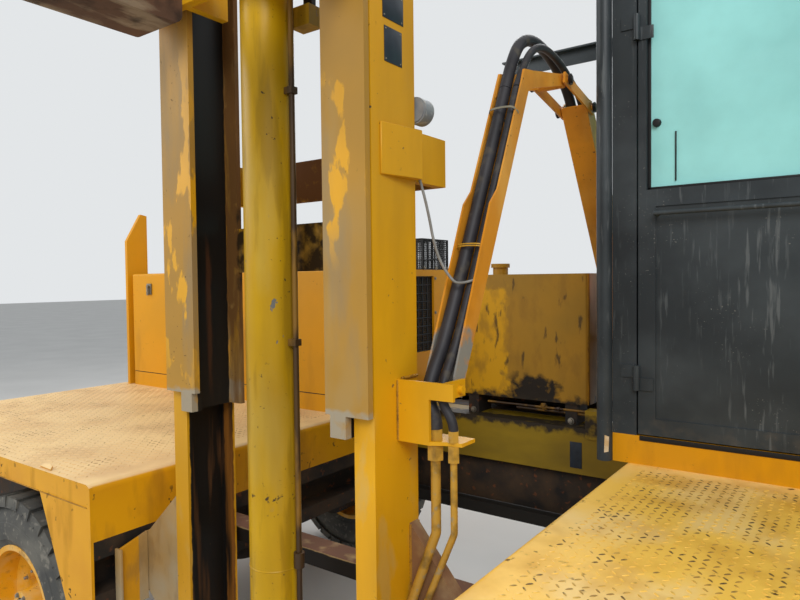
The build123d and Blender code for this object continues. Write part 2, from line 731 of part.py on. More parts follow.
with BuildPart() as cab_glass:
    pane_z = (CAB_SILL_Z, CAB_HEAD_Z)
    pane_y = CAB_Y[0] + CAB_WALL / 2
    block(FRONT_WINDOW_X, (pane_y, pane_y + GLASS), pane_z)
    block(
        (CAB_X[0] + CAB_POST, CAB_X[1] - CAB_POST),
        (CAB_Y[1] - CAB_WALL / 2, CAB_Y[1] - CAB_WALL / 2 + GLASS),
        pane_z,
    )
    for wall in (CAB_X[0], CAB_X[1] - CAB_WALL):
        pane_x = wall + CAB_WALL / 2
        block((pane_x, pane_x + GLASS), (CAB_Y[0] + CAB_POST, CAB_Y[1] - CAB_POST), pane_z)
save(cab_glass, "cab_glass")

with BuildPart() as corner_tube:
    rod(CAB_REAR - CAB_TUBE_RADIUS - 2, CAB_FACE, (DECK_Z, CAB_TOP), CAB_TUBE_RADIUS)
    for z in (CAB_PLINTH_TOP + 60, CAB_TOP - 60):
        block(
            (CAB_REAR - CAB_TUBE_RADIUS, CAB_REAR),
            (CAB_FACE, CAB_FACE + 12),
            (z - 20, z + 20),
        )
save(corner_tube, "corner_tube")

with BuildPart() as cab_beam:
    width, height, wall = BEAM_SECTION
    block(
        (CAB_BEAM_REAR, CAB_REAR),
        (CAB_BEAM_Y - width / 2, CAB_BEAM_Y + width / 2),
        (CAB_BEAM_TOP - wall, CAB_BEAM_TOP),
    )
    block(
        (CAB_BEAM_REAR, CAB_REAR),
        span(CAB_BEAM_Y, wall),
        (CAB_BEAM_TOP - height, CAB_BEAM_TOP - wall),
    )
save(cab_beam, "cab_beam")

with BuildPart() as door:
    door_y = (CAB_FACE, CAB_FACE + DOOR_THICKNESS)
    hinge_half(1, 0)
    for z in HINGE_Z:
        rod(*HINGE_AXIS, (z, z + 2 * HINGE_KNUCKLE), HINGE_PIN)
    block(DOOR_X, door_y, DOOR_Z)
    block(
        (DOOR_X[0] + DOOR_FRAME, DOOR_X[1] - DOOR_FRAME),
        door_y,
        (CAB_SILL_Z, CAB_HEAD_Z),
        mode=Mode.SUBTRACT,
    )
    block(
        (DOOR_X[0] + DOOR_BORDER, DOOR_X[1] - DOOR_BORDER),
        (CAB_FACE, CAB_FACE + DOOR_PRESS),
        (DOOR_Z[0] + DOOR_BORDER, CAB_SILL_Z - DOOR_BORDER),
        mode=Mode.SUBTRACT,
    )
save(door, "door")

with BuildPart() as door_fittings:
    rail_x = (DOOR_X[0] + DOOR_BORDER, DOOR_X[1] - DOOR_BORDER)
    rail_y = CAB_FACE - RAIL_STAND
    rod(rail_x, rail_y, RAIL_Z, RAIL_RADIUS)
    for x in (rail_x[0] + RAIL_RADIUS, rail_x[1] - RAIL_RADIUS):
        rod(x, (rail_y, CAB_FACE + DOOR_PRESS), RAIL_Z, RAIL_RADIUS)
    lock_x = DOOR_X[1] - DOOR_BORDER / 2
    rod(lock_x, (CAB_FACE - 26, CAB_FACE), RAIL_Z - 110, 14)
    block((lock_x - 110, lock_x + 12), (CAB_FACE - 34, CAB_FACE - 26), span(RAIL_Z - 110, 24))
save(door_fittings, "door_fittings")

with BuildPart() as door_glass:
    block(
        (DOOR_X[0] + DOOR_FRAME, DOOR_X[1] - DOOR_FRAME),
        (pane_y, pane_y + GLASS),
        pane_z,
    )
save(door_glass, "door_glass")

SEAT_X = CAB_REAR + SEAT_PLACE
SEAT_Y = (CAB_Y[0] + CAB_Y[1]) / 2
with BuildPart() as seat:
    block(
        span(SEAT_X, SEAT_SIZE[0]),
        span(SEAT_Y, SEAT_SIZE[1]),
        (SEAT_TOP - SEAT_CUSHION, SEAT_TOP),
    )
    fillet(seat.edges().filter_by(Axis.Z), 50)
    fillet(seat.faces().sort_by(Axis.Z)[-1].edges(), 30)
    back = SEAT_X - SEAT_SIZE[0] / 2
    outline(
        front_plane(SEAT_Y + SEAT_SIZE[1] / 2 - 20),
        (
            (back, SEAT_TOP - 20),
            (back + 100, SEAT_TOP - 20),
            (back + 100 - SEAT_RAKE, SEAT_TOP + SEAT_BACK),
            (back - SEAT_RAKE, SEAT_TOP + SEAT_BACK),
        ),
        SEAT_SIZE[1] - 40,
    )
    block(
        span(SEAT_X, SEAT_SIZE[0] - 100),
        span(SEAT_Y, SEAT_SIZE[1] - 100),
        (CAB_PLINTH_TOP, SEAT_TOP - SEAT_CUSHION),
    )
save(seat, "seat")

with BuildPart() as steering_column:
    console_x = (CAB_FRONT - CAB_WALL - CONSOLE_DEPTH, CAB_FRONT - CAB_WALL - RUN)
    block(console_x, span(SEAT_Y, SEAT_SIZE[1]), (CAB_PLINTH_TOP, CONSOLE_TOP))
    tilt = radians(WHEEL_TILT)
    hand = Vector(console_x[0] - 120, SEAT_Y, CONSOLE_TOP + 120)
    wheel_plane = Plane(hand, x_dir=(0, 1, 0), z_dir=(-sin(tilt), 0, cos(tilt)))
    with BuildSketch(wheel_plane):
        Circle(HAND_WHEEL[0])
        Circle(HAND_WHEEL[0] - HAND_WHEEL[1], mode=Mode.SUBTRACT)
        Rectangle(2 * HAND_WHEEL[0] - HAND_WHEEL[1], 30)
        Circle(36)
    extrude(amount=-HAND_WHEEL[1])
    with BuildSketch(wheel_plane):
        Circle(26)
    extrude(amount=-260)
save(steering_column, "steering_column")

# Axles
with BuildPart() as rear_axle:
    rod(
        REAR_AXLE_X,
        (MIDDLE - WHEEL_OFFSET + 60, MIDDLE + WHEEL_OFFSET - 60),
        WHEEL_Z,
        AXLE_TUBE_RADIUS,
    )
    rod(
        REAR_AXLE_X,
        (MIDDLE - WHEEL_OFFSET - 90, MIDDLE + WHEEL_OFFSET + 90),
        WHEEL_Z,
        SPINDLE_RADIUS,
    )
    with Locations((REAR_AXLE_X, MIDDLE, WHEEL_Z)):
        Sphere(190)
    for side in (-1, 1):
        inner = MIDDLE + side * (WHEEL_OFFSET - TYRE_WIDTH / 2 - 20)
        ends = sorted((inner, inner - side * DRUM_WIDTH))
        rod(REAR_AXLE_X, tuple(ends), WHEEL_Z, DRUM_RADIUS)
save(rear_axle, "rear_axle")

EYE_Z = (WHEEL_Z - EYE_HEIGHT / 2, WHEEL_Z + EYE_HEIGHT / 2)
with BuildPart() as front_axle:
    block(
        (FRONT_AXLE_X - STEER_BEAM[0] / 2, FRONT_AXLE_X + STEER_BEAM[0] / 2),
        (MIDDLE - KINGPIN_OFFSET + EYE_RADIUS, MIDDLE + KINGPIN_OFFSET - EYE_RADIUS),
        (WHEEL_Z - STEER_BEAM[1] / 2, WHEEL_Z + STEER_BEAM[1] / 2),
    )
    for rail in RAILS:
        block(
            (FRONT_AXLE_X - 70, FRONT_AXLE_X + 70),
            (rail - RAIL_WIDTH / 2, rail + RAIL_WIDTH / 2),
            (WHEEL_Z + STEER_BEAM[1] / 2, WHEEL_Z + AXLE_TUBE_RADIUS),
        )
    for side in (-1, 1):
        rod(FRONT_AXLE_X, MIDDLE + side * KINGPIN_OFFSET, EYE_Z, EYE_RADIUS + EYE_WALL)
    for side in (-1, 1):
        rod(
            FRONT_AXLE_X,
            MIDDLE + side * KINGPIN_OFFSET,
            EYE_Z,
            KINGPIN_RADIUS + FIT,
            mode=Mode.SUBTRACT,
        )
save(front_axle, "front_axle")

for name, side in (("near", -1), ("far", 1)):
    pin_y = MIDDLE + side * KINGPIN_OFFSET
    web_y = pin_y + side * (EYE_RADIUS + EYE_WALL + RUN)
    ear_z = (
        (EYE_Z[0] - 1 - EAR_THICKNESS, EYE_Z[0] - 1),
        (EYE_Z[1] + 1, EYE_Z[1] + 1 + EAR_THICKNESS),
    )
    with BuildPart() as knuckle:
        rod(FRONT_AXLE_X, pin_y, (ear_z[0][0], ear_z[1][1]), KINGPIN_RADIUS)
        for low, high in ear_z:
            rod(FRONT_AXLE_X, pin_y, (low, high), EYE_RADIUS)
            block(
                (FRONT_AXLE_X - EYE_RADIUS, FRONT_AXLE_X + EYE_RADIUS),
                tuple(sorted((pin_y, web_y + side * 30))),
                (low, high),
            )
        block(
            (FRONT_AXLE_X - EYE_RADIUS, FRONT_AXLE_X + EYE_RADIUS),
            tuple(sorted((web_y, web_y + side * 30))),
            (ear_z[0][0], ear_z[1][1]),
        )
        spindle_end = MIDDLE + side * (WHEEL_OFFSET + 90)
        rod(FRONT_AXLE_X, tuple(sorted((web_y, spindle_end))), WHEEL_Z, SPINDLE_RADIUS)
    save(knuckle, f"knuckle_{name}")

# Wheels: one dished rim and one lugged tyre, made about the origin and set at each corner
RIM_EDGE = TYRE_WIDTH / 2 - RIM_INSET
HALF_TYRE = TYRE_WIDTH / 2
WHEEL_PLANE = Plane((0, 0, 0), x_dir=(0, -1, 0), z_dir=(-1, 0, 0))
with BuildPart() as rim:
    with BuildSketch(WHEEL_PLANE):
        with BuildLine():
            disc = DISC_IN - DISC_DISH
            Polyline(
                (-RIM_EDGE, RIM_RADIUS - RIM_WALL),
                (-RIM_EDGE, RIM_RADIUS + RIM_FLANGE),
                (-RIM_EDGE + RIM_LIP, RIM_RADIUS + RIM_FLANGE),
                (-RIM_EDGE + RIM_LIP, RIM_RADIUS),
                (RIM_EDGE - RIM_LIP, RIM_RADIUS),
                (RIM_EDGE - RIM_LIP, RIM_RADIUS + RIM_FLANGE),
                (RIM_EDGE, RIM_RADIUS + RIM_FLANGE),
                (RIM_EDGE, RIM_RADIUS - RIM_WALL),
                (DISC_IN + RIM_WALL, RIM_RADIUS - RIM_WALL),
                (disc, RIM_RADIUS - DISC_CONE),
                (disc, HUB_RADIUS),
                (RIM_EDGE - HUB_INSET, HUB_RADIUS - RIM_WALL),
                (RIM_EDGE - HUB_INSET, SPINDLE_RADIUS + FIT),
                (disc - HUB_FOOT, SPINDLE_RADIUS + FIT),
                (disc - HUB_FOOT, HUB_RADIUS + RIM_WALL),
                (disc - RIM_WALL, RIM_RADIUS - DISC_CONE),
                (DISC_IN - RIM_WALL, RIM_RADIUS - RIM_WALL),
                close=True,
            )
        make_face()
    revolve(axis=Axis.Y)
    with BuildSketch(Plane((0, -disc, 0), x_dir=(1, 0, 0), z_dir=(0, -1, 0))) as studs:
        with PolarLocations(STUD_CIRCLE, STUDS):
            RegularPolygon(STUD_SIZE, 6)
    extrude(studs.sketch, amount=STUD_LENGTH)

# The tyre and its rows of lugs have flat sides, one for each lug and each gap
TREAD = TYRE_RADIUS - LUG_DEPTH
FLATS = 2 * LUGS
BEAD = RIM_EDGE - RIM_LIP - FIT
TYRE_SECTIONS = (  # place along the axle, radius to the flats
    (-BEAD, RIM_RADIUS + RIM_FLANGE + 1),
    (-HALF_TYRE, RIM_RADIUS + TYRE_BULGE),
    (-HALF_TYRE + LUG_DEPTH, TREAD),
    (HALF_TYRE - LUG_DEPTH, TREAD),
    (HALF_TYRE, RIM_RADIUS + TYRE_BULGE),
    (BEAD, RIM_RADIUS + RIM_FLANGE + 1),
)
LUG_SECTIONS = ((LUG_INNER, TYRE_RADIUS), (HALF_TYRE - 6, TYRE_RADIUS))


def flat_ring(profile, sign=1):
    """A solid with FLATS sides, through places along the axle and radii to the flats."""
    rings = []
    for place, radius in profile:
        corner = Vector(radius * tan(pi / FLATS), 0, -radius)
        turned = [corner.rotate(Axis.Y, turn * 360 / FLATS) for turn in range(FLATS)]
        rings.append([point - Vector(0, sign * place, 0) for point in turned])
    faces = [Face(Wire.make_polygon(ring)) for ring in (rings[0], rings[-1])]
    for near, far in zip(rings, rings[1:]):
        for turn in range(FLATS):
            corners = (near[turn - 1], near[turn], far[turn], far[turn - 1])
            faces.append(Face(Wire.make_polygon(corners)))
    return Solid(Shell(faces))


with BuildPart() as tyre:
    add(flat_ring(TYRE_SECTIONS))
    for wall in (-1, 1):
        with BuildPart() as row:
            add(flat_ring(LUG_SECTIONS, wall))
            with BuildSketch(Plane((0, TYRE_WIDTH, 0), x_dir=(1, 0, 0), z_dir=(0, -1, 0))) as teeth:
                with PolarLocations(LUG_FOOT + LUG_REACH / 2, LUGS, start_angle=90 * (wall + 1) / LUGS - 90):
                    Rectangle(LUG_REACH, LUG_WIDTH)
            extrude(teeth.sketch, amount=2 * TYRE_WIDTH, mode=Mode.INTERSECT)
        add(row.part)
    bore = RIM_RADIUS + FIT
    add(flat_ring(((-TYRE_WIDTH, bore), (TYRE_WIDTH, bore))), mode=Mode.SUBTRACT)

for end, axle_x in (("rear", REAR_AXLE_X), ("front", FRONT_AXLE_X)):
    for name, side in (("near", -1), ("far", 1)):
        place = Location((axle_x, MIDDLE + side * WHEEL_OFFSET, WHEEL_Z), (0, 0, 90 + 90 * side))
        for piece, kind in ((rim, "rim"), (tyre, "tyre")):
            with BuildPart() as wheel:
                add(piece.part.moved(place))
            save(wheel, f"{kind}_{end}_{name}")

# Trolley: the welded base that carries the mast along the tracks
TROLLEY_X = (WELL_REAR + 14.0, WELL_FRONT - 14.0)
MAST_LEFT = MAST_X - MAST_WIDTH / 2
MAST_RIGHT = MAST_X + MAST_WIDTH / 2
ROLLER_Y = (MAST_FACE + 60.0, MAST_FACE + 60.0 + TROLLEY_ROLLER_SPREAD)
ROLLER_Z = TRACK_SLOT_LOW + FIT + TROLLEY_ROLLER_RADIUS
TIE_Y = (MAST_FACE + MAST_DEPTH + 30, MAST_FACE + MAST_DEPTH + 30 + TROLLEY_TIE[0])
with BuildPart() as trolley:
    for x in (TROLLEY_X[0], TROLLEY_X[1] - TROLLEY_SIDE):
        block((x, x + TROLLEY_SIDE), (MAST_FACE, TROLLEY_REAR), (TROLLEY_LOW, TROLLEY_TOP))
    block(TROLLEY_X, TIE_Y, (TROLLEY_TIE_LOW, TROLLEY_TOP))
    outline(
        front_plane(MAST_FACE),
        (
            (TROLLEY_X[0], TROLLEY_LOW),
            (MAST_LEFT, TROLLEY_LOW - GUSSET_DROP),
            (MAST_LEFT, GUSSET_TOP),
            (TROLLEY_X[0] + 10, TROLLEY_TOP + 9),
            (TROLLEY_X[0], TROLLEY_TOP + 9),
        ),
        -GUSSET_PLATE,
    )
    outline(
        front_plane(MAST_FACE + STRUT[0]),
        (
            (MAST_RIGHT, TROLLEY_LOW),
            (TROLLEY_X[1], TROLLEY_LOW),
            (TROLLEY_X[1], TROLLEY_LOW + STRUT[1]),
            (MAST_RIGHT, STRUT_TOP),
        ),
        -STRUT[1],
    )
    for x in (MAST_LEFT, MAST_RIGHT - MAST_WEB):
        block((x, x + MAST_WEB), (MAST_FACE + MAST_DEPTH, TIE_Y[0]), (TROLLEY_TIE_LOW, TROLLEY_TOP))
save(trolley, "trolley")

with BuildPart() as trolley_rollers:
    for sign, x in ((-1, TROLLEY_X[0]), (1, TROLLEY_X[1])):
        for y in ROLLER_Y:
            ends = sorted((x + sign * 24, x + sign * (24 + TROLLEY_ROLLER_WIDTH)))
            rod(tuple(ends), y, ROLLER_Z, TROLLEY_ROLLER_RADIUS)
            rod(tuple(sorted((x, x + sign * 24))), y, ROLLER_Z, 24)
save(trolley_rollers, "trolley_rollers")

# Outer mast: two channels open to each other, with a foot, a yoke and a head tie behind them
with BuildPart() as outer_mast:
    for sign, x in ((1, MAST_LEFT), (-1, MAST_RIGHT)):
        with BuildSketch(Plane.XY.offset(MAST_FOOT)):
            with BuildLine():
                near = MAST_FACE
                far = MAST_FACE + MAST_DEPTH
                Polyline(
                    (x, near),
                    (x + sign * MAST_FLANGE, near),
                    (x + sign * MAST_FLANGE, near + MAST_WEB),
                    (x + sign * MAST_WEB, near + MAST_WEB),
                    (x + sign * MAST_WEB, far - MAST_WEB),
                    (x + sign * MAST_FLANGE, far - MAST_WEB),
                    (x + sign * MAST_FLANGE, far),
                    (x, far),
                    close=True,
                )
            make_face()
        extrude(amount=MAST_TOP - MAST_FOOT)
        block(
            tuple(sorted((x, x + sign * YOKE_PLATE))),
            (far, near + YOKE_DEPTH),
            (YOKE_LOW, YOKE_TOP),
        )
    mast_x = (MAST_LEFT, MAST_RIGHT)
    block(mast_x, (near + YOKE_DEPTH, near + YOKE_DEPTH + TIE_PLATE), (YOKE_LOW, YOKE_TOP))
    block(mast_x, (far, far + TIE_PLATE), (MAST_FOOT, MAST_FOOT + FOOT_TIE))
    block(mast_x, (far, far + TIE_PLATE), (MAST_TOP - HEAD_TIE, MAST_TOP))
    block(span(MAST_X, MAST_DEPTH), (near - 30, far), (MAST_FOOT, MAST_FOOT + SEAT_PAD))
save(outer_mast, "outer_mast")

# Inner mast: wide front plates over the outer flanges, with channels between them
INNER_FRONT = MAST_FACE - RUN - INNER_PLATE
INNER_BACK = MAST_FACE + MAST_DEPTH - 20.0
with BuildPart() as inner_mast:
    for sign, x in ((1, MAST_LEFT), (-1, MAST_RIGHT)):
        tip = x + sign * INNER_PLATE_WIDTH
        root = tip - sign * INNER_CHANNEL
        block(
            tuple(sorted((x, tip))),
            (INNER_FRONT, INNER_FRONT + INNER_PLATE),
            (INNER_FOOT, INNER_TOP),
        )
        block(
            tuple(sorted((root, root + sign * INNER_WEB))),
            (INNER_FRONT + INNER_PLATE, INNER_BACK),
            (INNER_TOE, INNER_TOP),
        )
        block(
            tuple(sorted((root, tip))),
            (INNER_BACK - INNER_WEB, INNER_BACK),
            (INNER_TOE, INNER_TOP),
        )
        block(
            tuple(sorted((root, root + sign * 55))),
            (INNER_FRONT, INNER_FRONT + 40),
            (INNER_TOE, INNER_FOOT),
        )
    channel_x = (MAST_LEFT + INNER_PLATE_WIDTH, MAST_RIGHT - INNER_PLATE_WIDTH)
    tie_y = (INNER_BACK - INNER_WEB, INNER_BACK)
    block(channel_x, tie_y, (INNER_TIE_LOW, INNER_TIE_TOP))
    block(channel_x, tie_y, (INNER_TOP - CROSSHEAD - 60, INNER_TOP))
    block(
        (MAST_X - LIFT_RADIUS, MAST_X + LIFT_RADIUS),
        (LIFT_Y - LIFT_RADIUS, INNER_BACK),
        (INNER_TOP - CROSSHEAD, INNER_TOP),
    )
    for sign in (-1, 1):
        cheek = MAST_X + sign * (CHAIN_OFFSET - SHEAVE_CHEEK_GAP)
        block(
            tuple(sorted((cheek - sign * SHEAVE_CHEEK, cheek))),
            (LIFT_Y - 20, LIFT_Y + 20),
            (SHEAVE_Z - 20, INNER_TOP),
        )
save(inner_mast, "inner_mast")

with BuildPart() as lift_barrel:
    rod(MAST_X, LIFT_Y, (MAST_FOOT + SEAT_PAD, LIFT_TOP), LIFT_RADIUS)
    rod(
        MAST_X,
        LIFT_Y,
        (MAST_FOOT + 2 * SEAT_PAD, LIFT_TOP),
        LIFT_BORE,
        mode=Mode.SUBTRACT,
    )
    rod(MAST_X, LIFT_Y, (LIFT_TOP - 60, LIFT_TOP), LIFT_RADIUS + 8, bore=ROD_RADIUS + FIT)
    for sign in (-1, 1):
        block(
            tuple(sorted((MAST_X + sign * 60, MAST_X + sign * (CHAIN_OFFSET + 24)))),
            (LIFT_Y + 40, LIFT_Y + 95),
            (CHAIN_ANCHOR_Z - 60, CHAIN_ANCHOR_Z),
        )
save(lift_barrel, "lift_barrel")

LIFT_PIPE_X = MAST_X + LIFT_RADIUS + 20.0
with BuildPart() as lift_pipe:
    inlet = MAST_X + LIFT_RADIUS
    foot, head = MAST_FOOT + 3 * SEAT_PAD, LIFT_TOP - 2 * SEAT_PAD
    tube(
        (
            (inlet, LIFT_Y, foot),
            (LIFT_PIPE_X, LIFT_Y, foot),
            (LIFT_PIPE_X, LIFT_Y, head),
            (inlet, LIFT_Y, head),
        ),
        LIFT_PIPE + 2,
        LIFT_PIPE,
    )
    for z in LIFT_CLIPS:
        block((inlet, LIFT_PIPE_X + LIFT_PIPE + 3), span(LIFT_Y, 3 * LIFT_PIPE), span(z, 20))
    with Locations((LIFT_PIPE_X, LIFT_Y, LIFT_UNION)):
        Cylinder(1.9 * LIFT_PIPE, 46)
save(lift_pipe, "lift_pipe")

with BuildPart() as lift_rod:
    rod(MAST_X, LIFT_Y, (ROD_FOOT, INNER_TOP - CROSSHEAD), ROD_RADIUS)
save(lift_rod, "lift_rod")

# Sheaves at the top of the inner mast, and the two falls of each chain
with BuildPart() as chain_sheaves:
    for sign in (-1, 1):
        x = MAST_X + sign * CHAIN_OFFSET
        sheave_x = (x - CHAIN_SECTION[0] / 2, x + CHAIN_SECTION[0] / 2)
        rod(sheave_x, LIFT_Y, SHEAVE_Z, SHEAVE_RADIUS - FIT)
        ends = sorted((x - sign * SHEAVE_CHEEK_GAP, x - sign * CHAIN_SECTION[0] / 2))
        rod(tuple(ends), LIFT_Y, SHEAVE_Z, 18)
save(chain_sheaves, "chain_sheaves")

for name, sign_y, end in (
    ("chain_rear", 1, CHAIN_ANCHOR_Z),
    ("chain_front", -1, CARRIAGE_ANCHOR_Z),
):
    with BuildPart() as chain:
        for sign in (-1, 1):
            x = MAST_X + sign * CHAIN_OFFSET
            y = LIFT_Y + sign_y * (SHEAVE_RADIUS + CHAIN_SECTION[1] / 2)
            block(
                (x - CHAIN_SECTION[0] / 2, x + CHAIN_SECTION[0] / 2),
                (y - CHAIN_SECTION[1] / 2, y + CHAIN_SECTION[1] / 2),
                (end, SHEAVE_Z),
            )
    save(chain, name)

# Carriage and forks
FORK_X = (MAST_X - FORK_SPREAD / 2, MAST_X + FORK_SPREAD / 2)
PLATE_Y = (CARRIAGE_FACE - CARRIAGE_PLATE, CARRIAGE_FACE)
CARRIAGE_BARS = (FORK_LOW + 60.0, FORK_LOW + 470.0)
with BuildPart() as carriage:
    for low in CARRIAGE_BARS:
        block((MAST_LEFT - 30, MAST_RIGHT + 30), PLATE_Y, (low, low + CARRIAGE_BAR))
    for sign in (-1, 1):
        bracket_x = MAST_X + sign * CARRIAGE_BRACKET
        bracket_z = (CARRIAGE_BARS[0], CARRIAGE_BARS[1] + CARRIAGE_BAR)
        block(span(bracket_x, 28), (PLATE_Y[0], MAST_FACE + 90), bracket_z)
        block(span(bracket_x, 80), PLATE_Y, (CARRIAGE_BARS[0] + CARRIAGE_BAR, CARRIAGE_BARS[1]))
        for z in (bracket_z[0] + 110, bracket_z[1] - 60):
            ends = sorted((bracket_x + sign * 14, bracket_x + sign * 52))
            rod(tuple(ends), MAST_FACE + 60, z, ROLLER_RADIUS)
        anchor_x = MAST_X + sign * (CHAIN_OFFSET - 22)
        anchor_y = LIFT_Y - SHEAVE_RADIUS
        block(
            tuple(sorted((bracket_x, anchor_x))),
            (anchor_y - 30, anchor_y + 12),
            (CARRIAGE_ANCHOR_Z - 40, CARRIAGE_ANCHOR_Z),
        )
save(carriage, "fork_carriage")

FORK_TIP = NEAR - FORK_OVERHANG
with BuildPart() as forks:
    for x in FORK_X:
        heel = PLATE_Y[0]
        hook_z = CARRIAGE_BARS[1] + CARRIAGE_BAR
        with BuildSketch(side_plane(x - FORK_WIDTH / 2)) as blade:
            with BuildLine():
                Polyline(
                    (heel, FORK_LOW),
                    (FORK_TIP, FORK_LOW),
                    (FORK_TIP, FORK_LOW + FORK_TIP_THICKNESS),
                    (heel - FORK_TAPER, FORK_LOW + FORK_THICKNESS),
                    (heel - FORK_SHANK, FORK_LOW + FORK_THICKNESS),
                    (heel - FORK_SHANK, hook_z + FORK_HOOK),
                    (heel + FORK_HOOK, hook_z + FORK_HOOK),
                    (heel + FORK_HOOK, hook_z),
                    (heel, hook_z),
                    close=True,
                )
            make_face()
            fillet(blade.vertices().sort_by_distance((x, heel, FORK_LOW))[0], FORK_HEEL)
            inner_heel = (x, heel - FORK_SHANK, FORK_LOW + FORK_THICKNESS)
            fillet(blade.vertices().sort_by_distance(inner_heel)[0], FORK_HEEL / 2)
        extrude(blade.sketch, amount=FORK_WIDTH)
    chamfer(forks.edges().filter_by(Axis.Z).group_by(Axis.Y)[0], FORK_CORNER)
save(forks, "forks")

# Bracket on the mast where the hoses become steel pipes
BRACKET_X = (MAST_RIGHT, MAST_RIGHT + BRACKET_LENGTH)
ARM_NEAR_X = ARM_X + ARM_WIDTH / 2
with BuildPart() as hose_bracket:
    block(BRACKET_X, (BRACKET_Y, BRACKET_Y + BRACKET_PLATE), BRACKET_Z)
    block(
        (BRACKET_X[1] - BRACKET_NOTCH[0], BRACKET_X[1]),
        (BRACKET_Y, BRACKET_Y + BRACKET_PLATE),
        (BRACKET_Z[0], BRACKET_Z[0] + BRACKET_NOTCH[1]),
        mode=Mode.SUBTRACT,
    )
    block(
        (ARM_NEAR_X, ARM_NEAR_X + BRACKET_PLATE),
        (BRACKET_Y, ARM_FOOT[0] + ARM_FOOT_DEPTH),
        (BRACKET_Z[0] + BRACKET_NOTCH[1], BRACKET_Z[1]),
    )
    bolt_y = ARM_FOOT[0] + ARM_FOOT_DEPTH / 2
    rod((ARM_NEAR_X + BRACKET_PLATE, ARM_NEAR_X + 22), bolt_y, BRACKET_Z[1] - 26, 11)
    with BuildSketch(Plane.XY.offset(BRACKET_Z[0])) as shelf:
        with BuildLine():
            corner = (BRACKET_X[1] - BRACKET_NOTCH[0], BRACKET_Y)
            Line((BRACKET_X[0], BRACKET_Y), corner)
            ThreePointArc(corner, (corner[0] + 40, BRACKET_Y + 22), (BRACKET_X[1] + 8, BRACKET_Y + 30))
            Line((BRACKET_X[1] + 8, BRACKET_Y + 30), (BRACKET_X[1] + 8, BRACKET_Y + 100))
            Line((BRACKET_X[1] + 8, BRACKET_Y + 100), (BRACKET_X[0], BRACKET_Y + 100))
            Line((BRACKET_X[0], BRACKET_Y + 100), (BRACKET_X[0], BRACKET_Y))
        make_face()
    extrude(shelf.sketch, amount=BRACKET_PLATE)
save(hose_bracket, "hose_bracket")

# Each steel pipe drops from its union under the shelf and bends to the mast's foot
PIPES = (  # x, radius, x and z of the two bends
    (ARM_X + 8.0, 13.5, (ARM_X + 8.0, 1052.0), (ARM_X - 79.0, 830.0)),
    (ARM_X + 65.0, 9.5, (ARM_X + 65.0, 1060.0), (ARM_X - 45.0, 805.0)),
)
with BuildPart() as steel_pipes:
    for x, radius, high, low in PIPES:
        tube(
            (
                (x, PIPE_Y, BRACKET_Z[0]),
                (high[0], PIPE_Y, high[1]),
                (low[0], PIPE_Y, low[1]),
                (low[0], PIPE_Y, TROLLEY_LOW),
            ),
            3 * radius,
            radius,
        )
        with BuildSketch(Plane.XY.offset(BRACKET_Z[0])) as nut:
            with Locations((x, PIPE_Y)):
                RegularPolygon(1.75 * radius, 6)
        extrude(nut.sketch, amount=-NUT_LENGTH)
        with BuildSketch(Plane.XY.offset(BRACKET_Z[0] + BRACKET_PLATE)) as ferrule:
            with Locations((x, PIPE_Y)):
                RegularPolygon(1.6 * radius, 6)
        extrude(ferrule.sketch, amount=FERRULE_LENGTH)
    for low in (PIPES[0][3][0],):
        block((MAST_RIGHT, low + 20), span(PIPE_Y, 24), (TROLLEY_TOP - 80, TROLLEY_TOP - 60))
save(steel_pipes, "steel_pipes")

# Hose guide
ARM_SIDES = (ARM_X - ARM_WIDTH / 2, ARM_X + ARM_WIDTH / 2)
rear_of = (
    (ARM_FOOT[0] + ARM_FOOT_DEPTH, ARM_FOOT[1] - 13),
    (ARM_HEAD[0] + ARM_HEAD_DEPTH, ARM_HEAD[1] + 8),
)
ARM_OUTLINE = (
    ARM_FOOT,
    ARM_KINK,
    ARM_STEP,
    ARM_HEAD,
    rear_of[1],
    (rear_of[0][0] + ARM_LIP, rear_of[0][1] + 60),
    rear_of[0],
)
with BuildPart() as mast_arm:
    outline(side_plane(ARM_SIDES[0]), ARM_OUTLINE, ARM_WIDTH)
    hollow = [(y - ARM_PLATE - (60 if i < 4 else 0), z) for i, (y, z) in enumerate(ARM_OUTLINE)]
    hollow[0] = (hollow[0][0], ARM_FOOT[1] - 60)
    hollow[-1] = (hollow[-1][0], ARM_FOOT[1] - 60)
    hollow[3] = (hollow[3][0] + 40, ARM_HEAD[1] + 80)
    hollow[4] = (hollow[4][0] + 36, ARM_HEAD[1] + 80)
    outline(
        side_plane(ARM_SIDES[0] + ARM_PLATE), hollow, ARM_WIDTH - 2 * ARM_PLATE, mode=Mode.SUBTRACT
    )
    block(
        (ARM_SIDES[1] - ARM_PLATE, ARM_SIDES[1]),
        (ARM_FOOT[0] - 60, ARM_FOOT[0] + ARM_LIP),
        (ARM_FOOT[1], ARM_LIP_Z - 3 * ARM_LIP),
        mode=Mode.SUBTRACT,
    )
    for side, sign in ((ARM_SIDES[0], 1), (ARM_SIDES[1] - 8, -1)):
        outline(
            side_plane(side),
            (
                (ARM_HEAD[0] - 34, ARM_HEAD[1] - 86),
                (ARM_HEAD[0] + 64, ARM_HEAD[1] - 48),
                (PIVOT_A[0] - 18, PIVOT_A[1] - 22),
                (PIVOT_A[0] - 18, PIVOT_A[1] + 20),
                (ARM_HEAD[0] + ARM_HEAD_DEPTH, ARM_HEAD[1] + 10),
                (ARM_HEAD[0], ARM_HEAD[1]),
            ),
            8,
        )
    rod(ARM_SIDES, *PIVOT_A, BOSS_RADIUS)
    rod(ARM_SIDES, *PIVOT_A, PIVOT_PIN + FIT, mode=Mode.SUBTRACT)
save(mast_arm, "mast_arm")

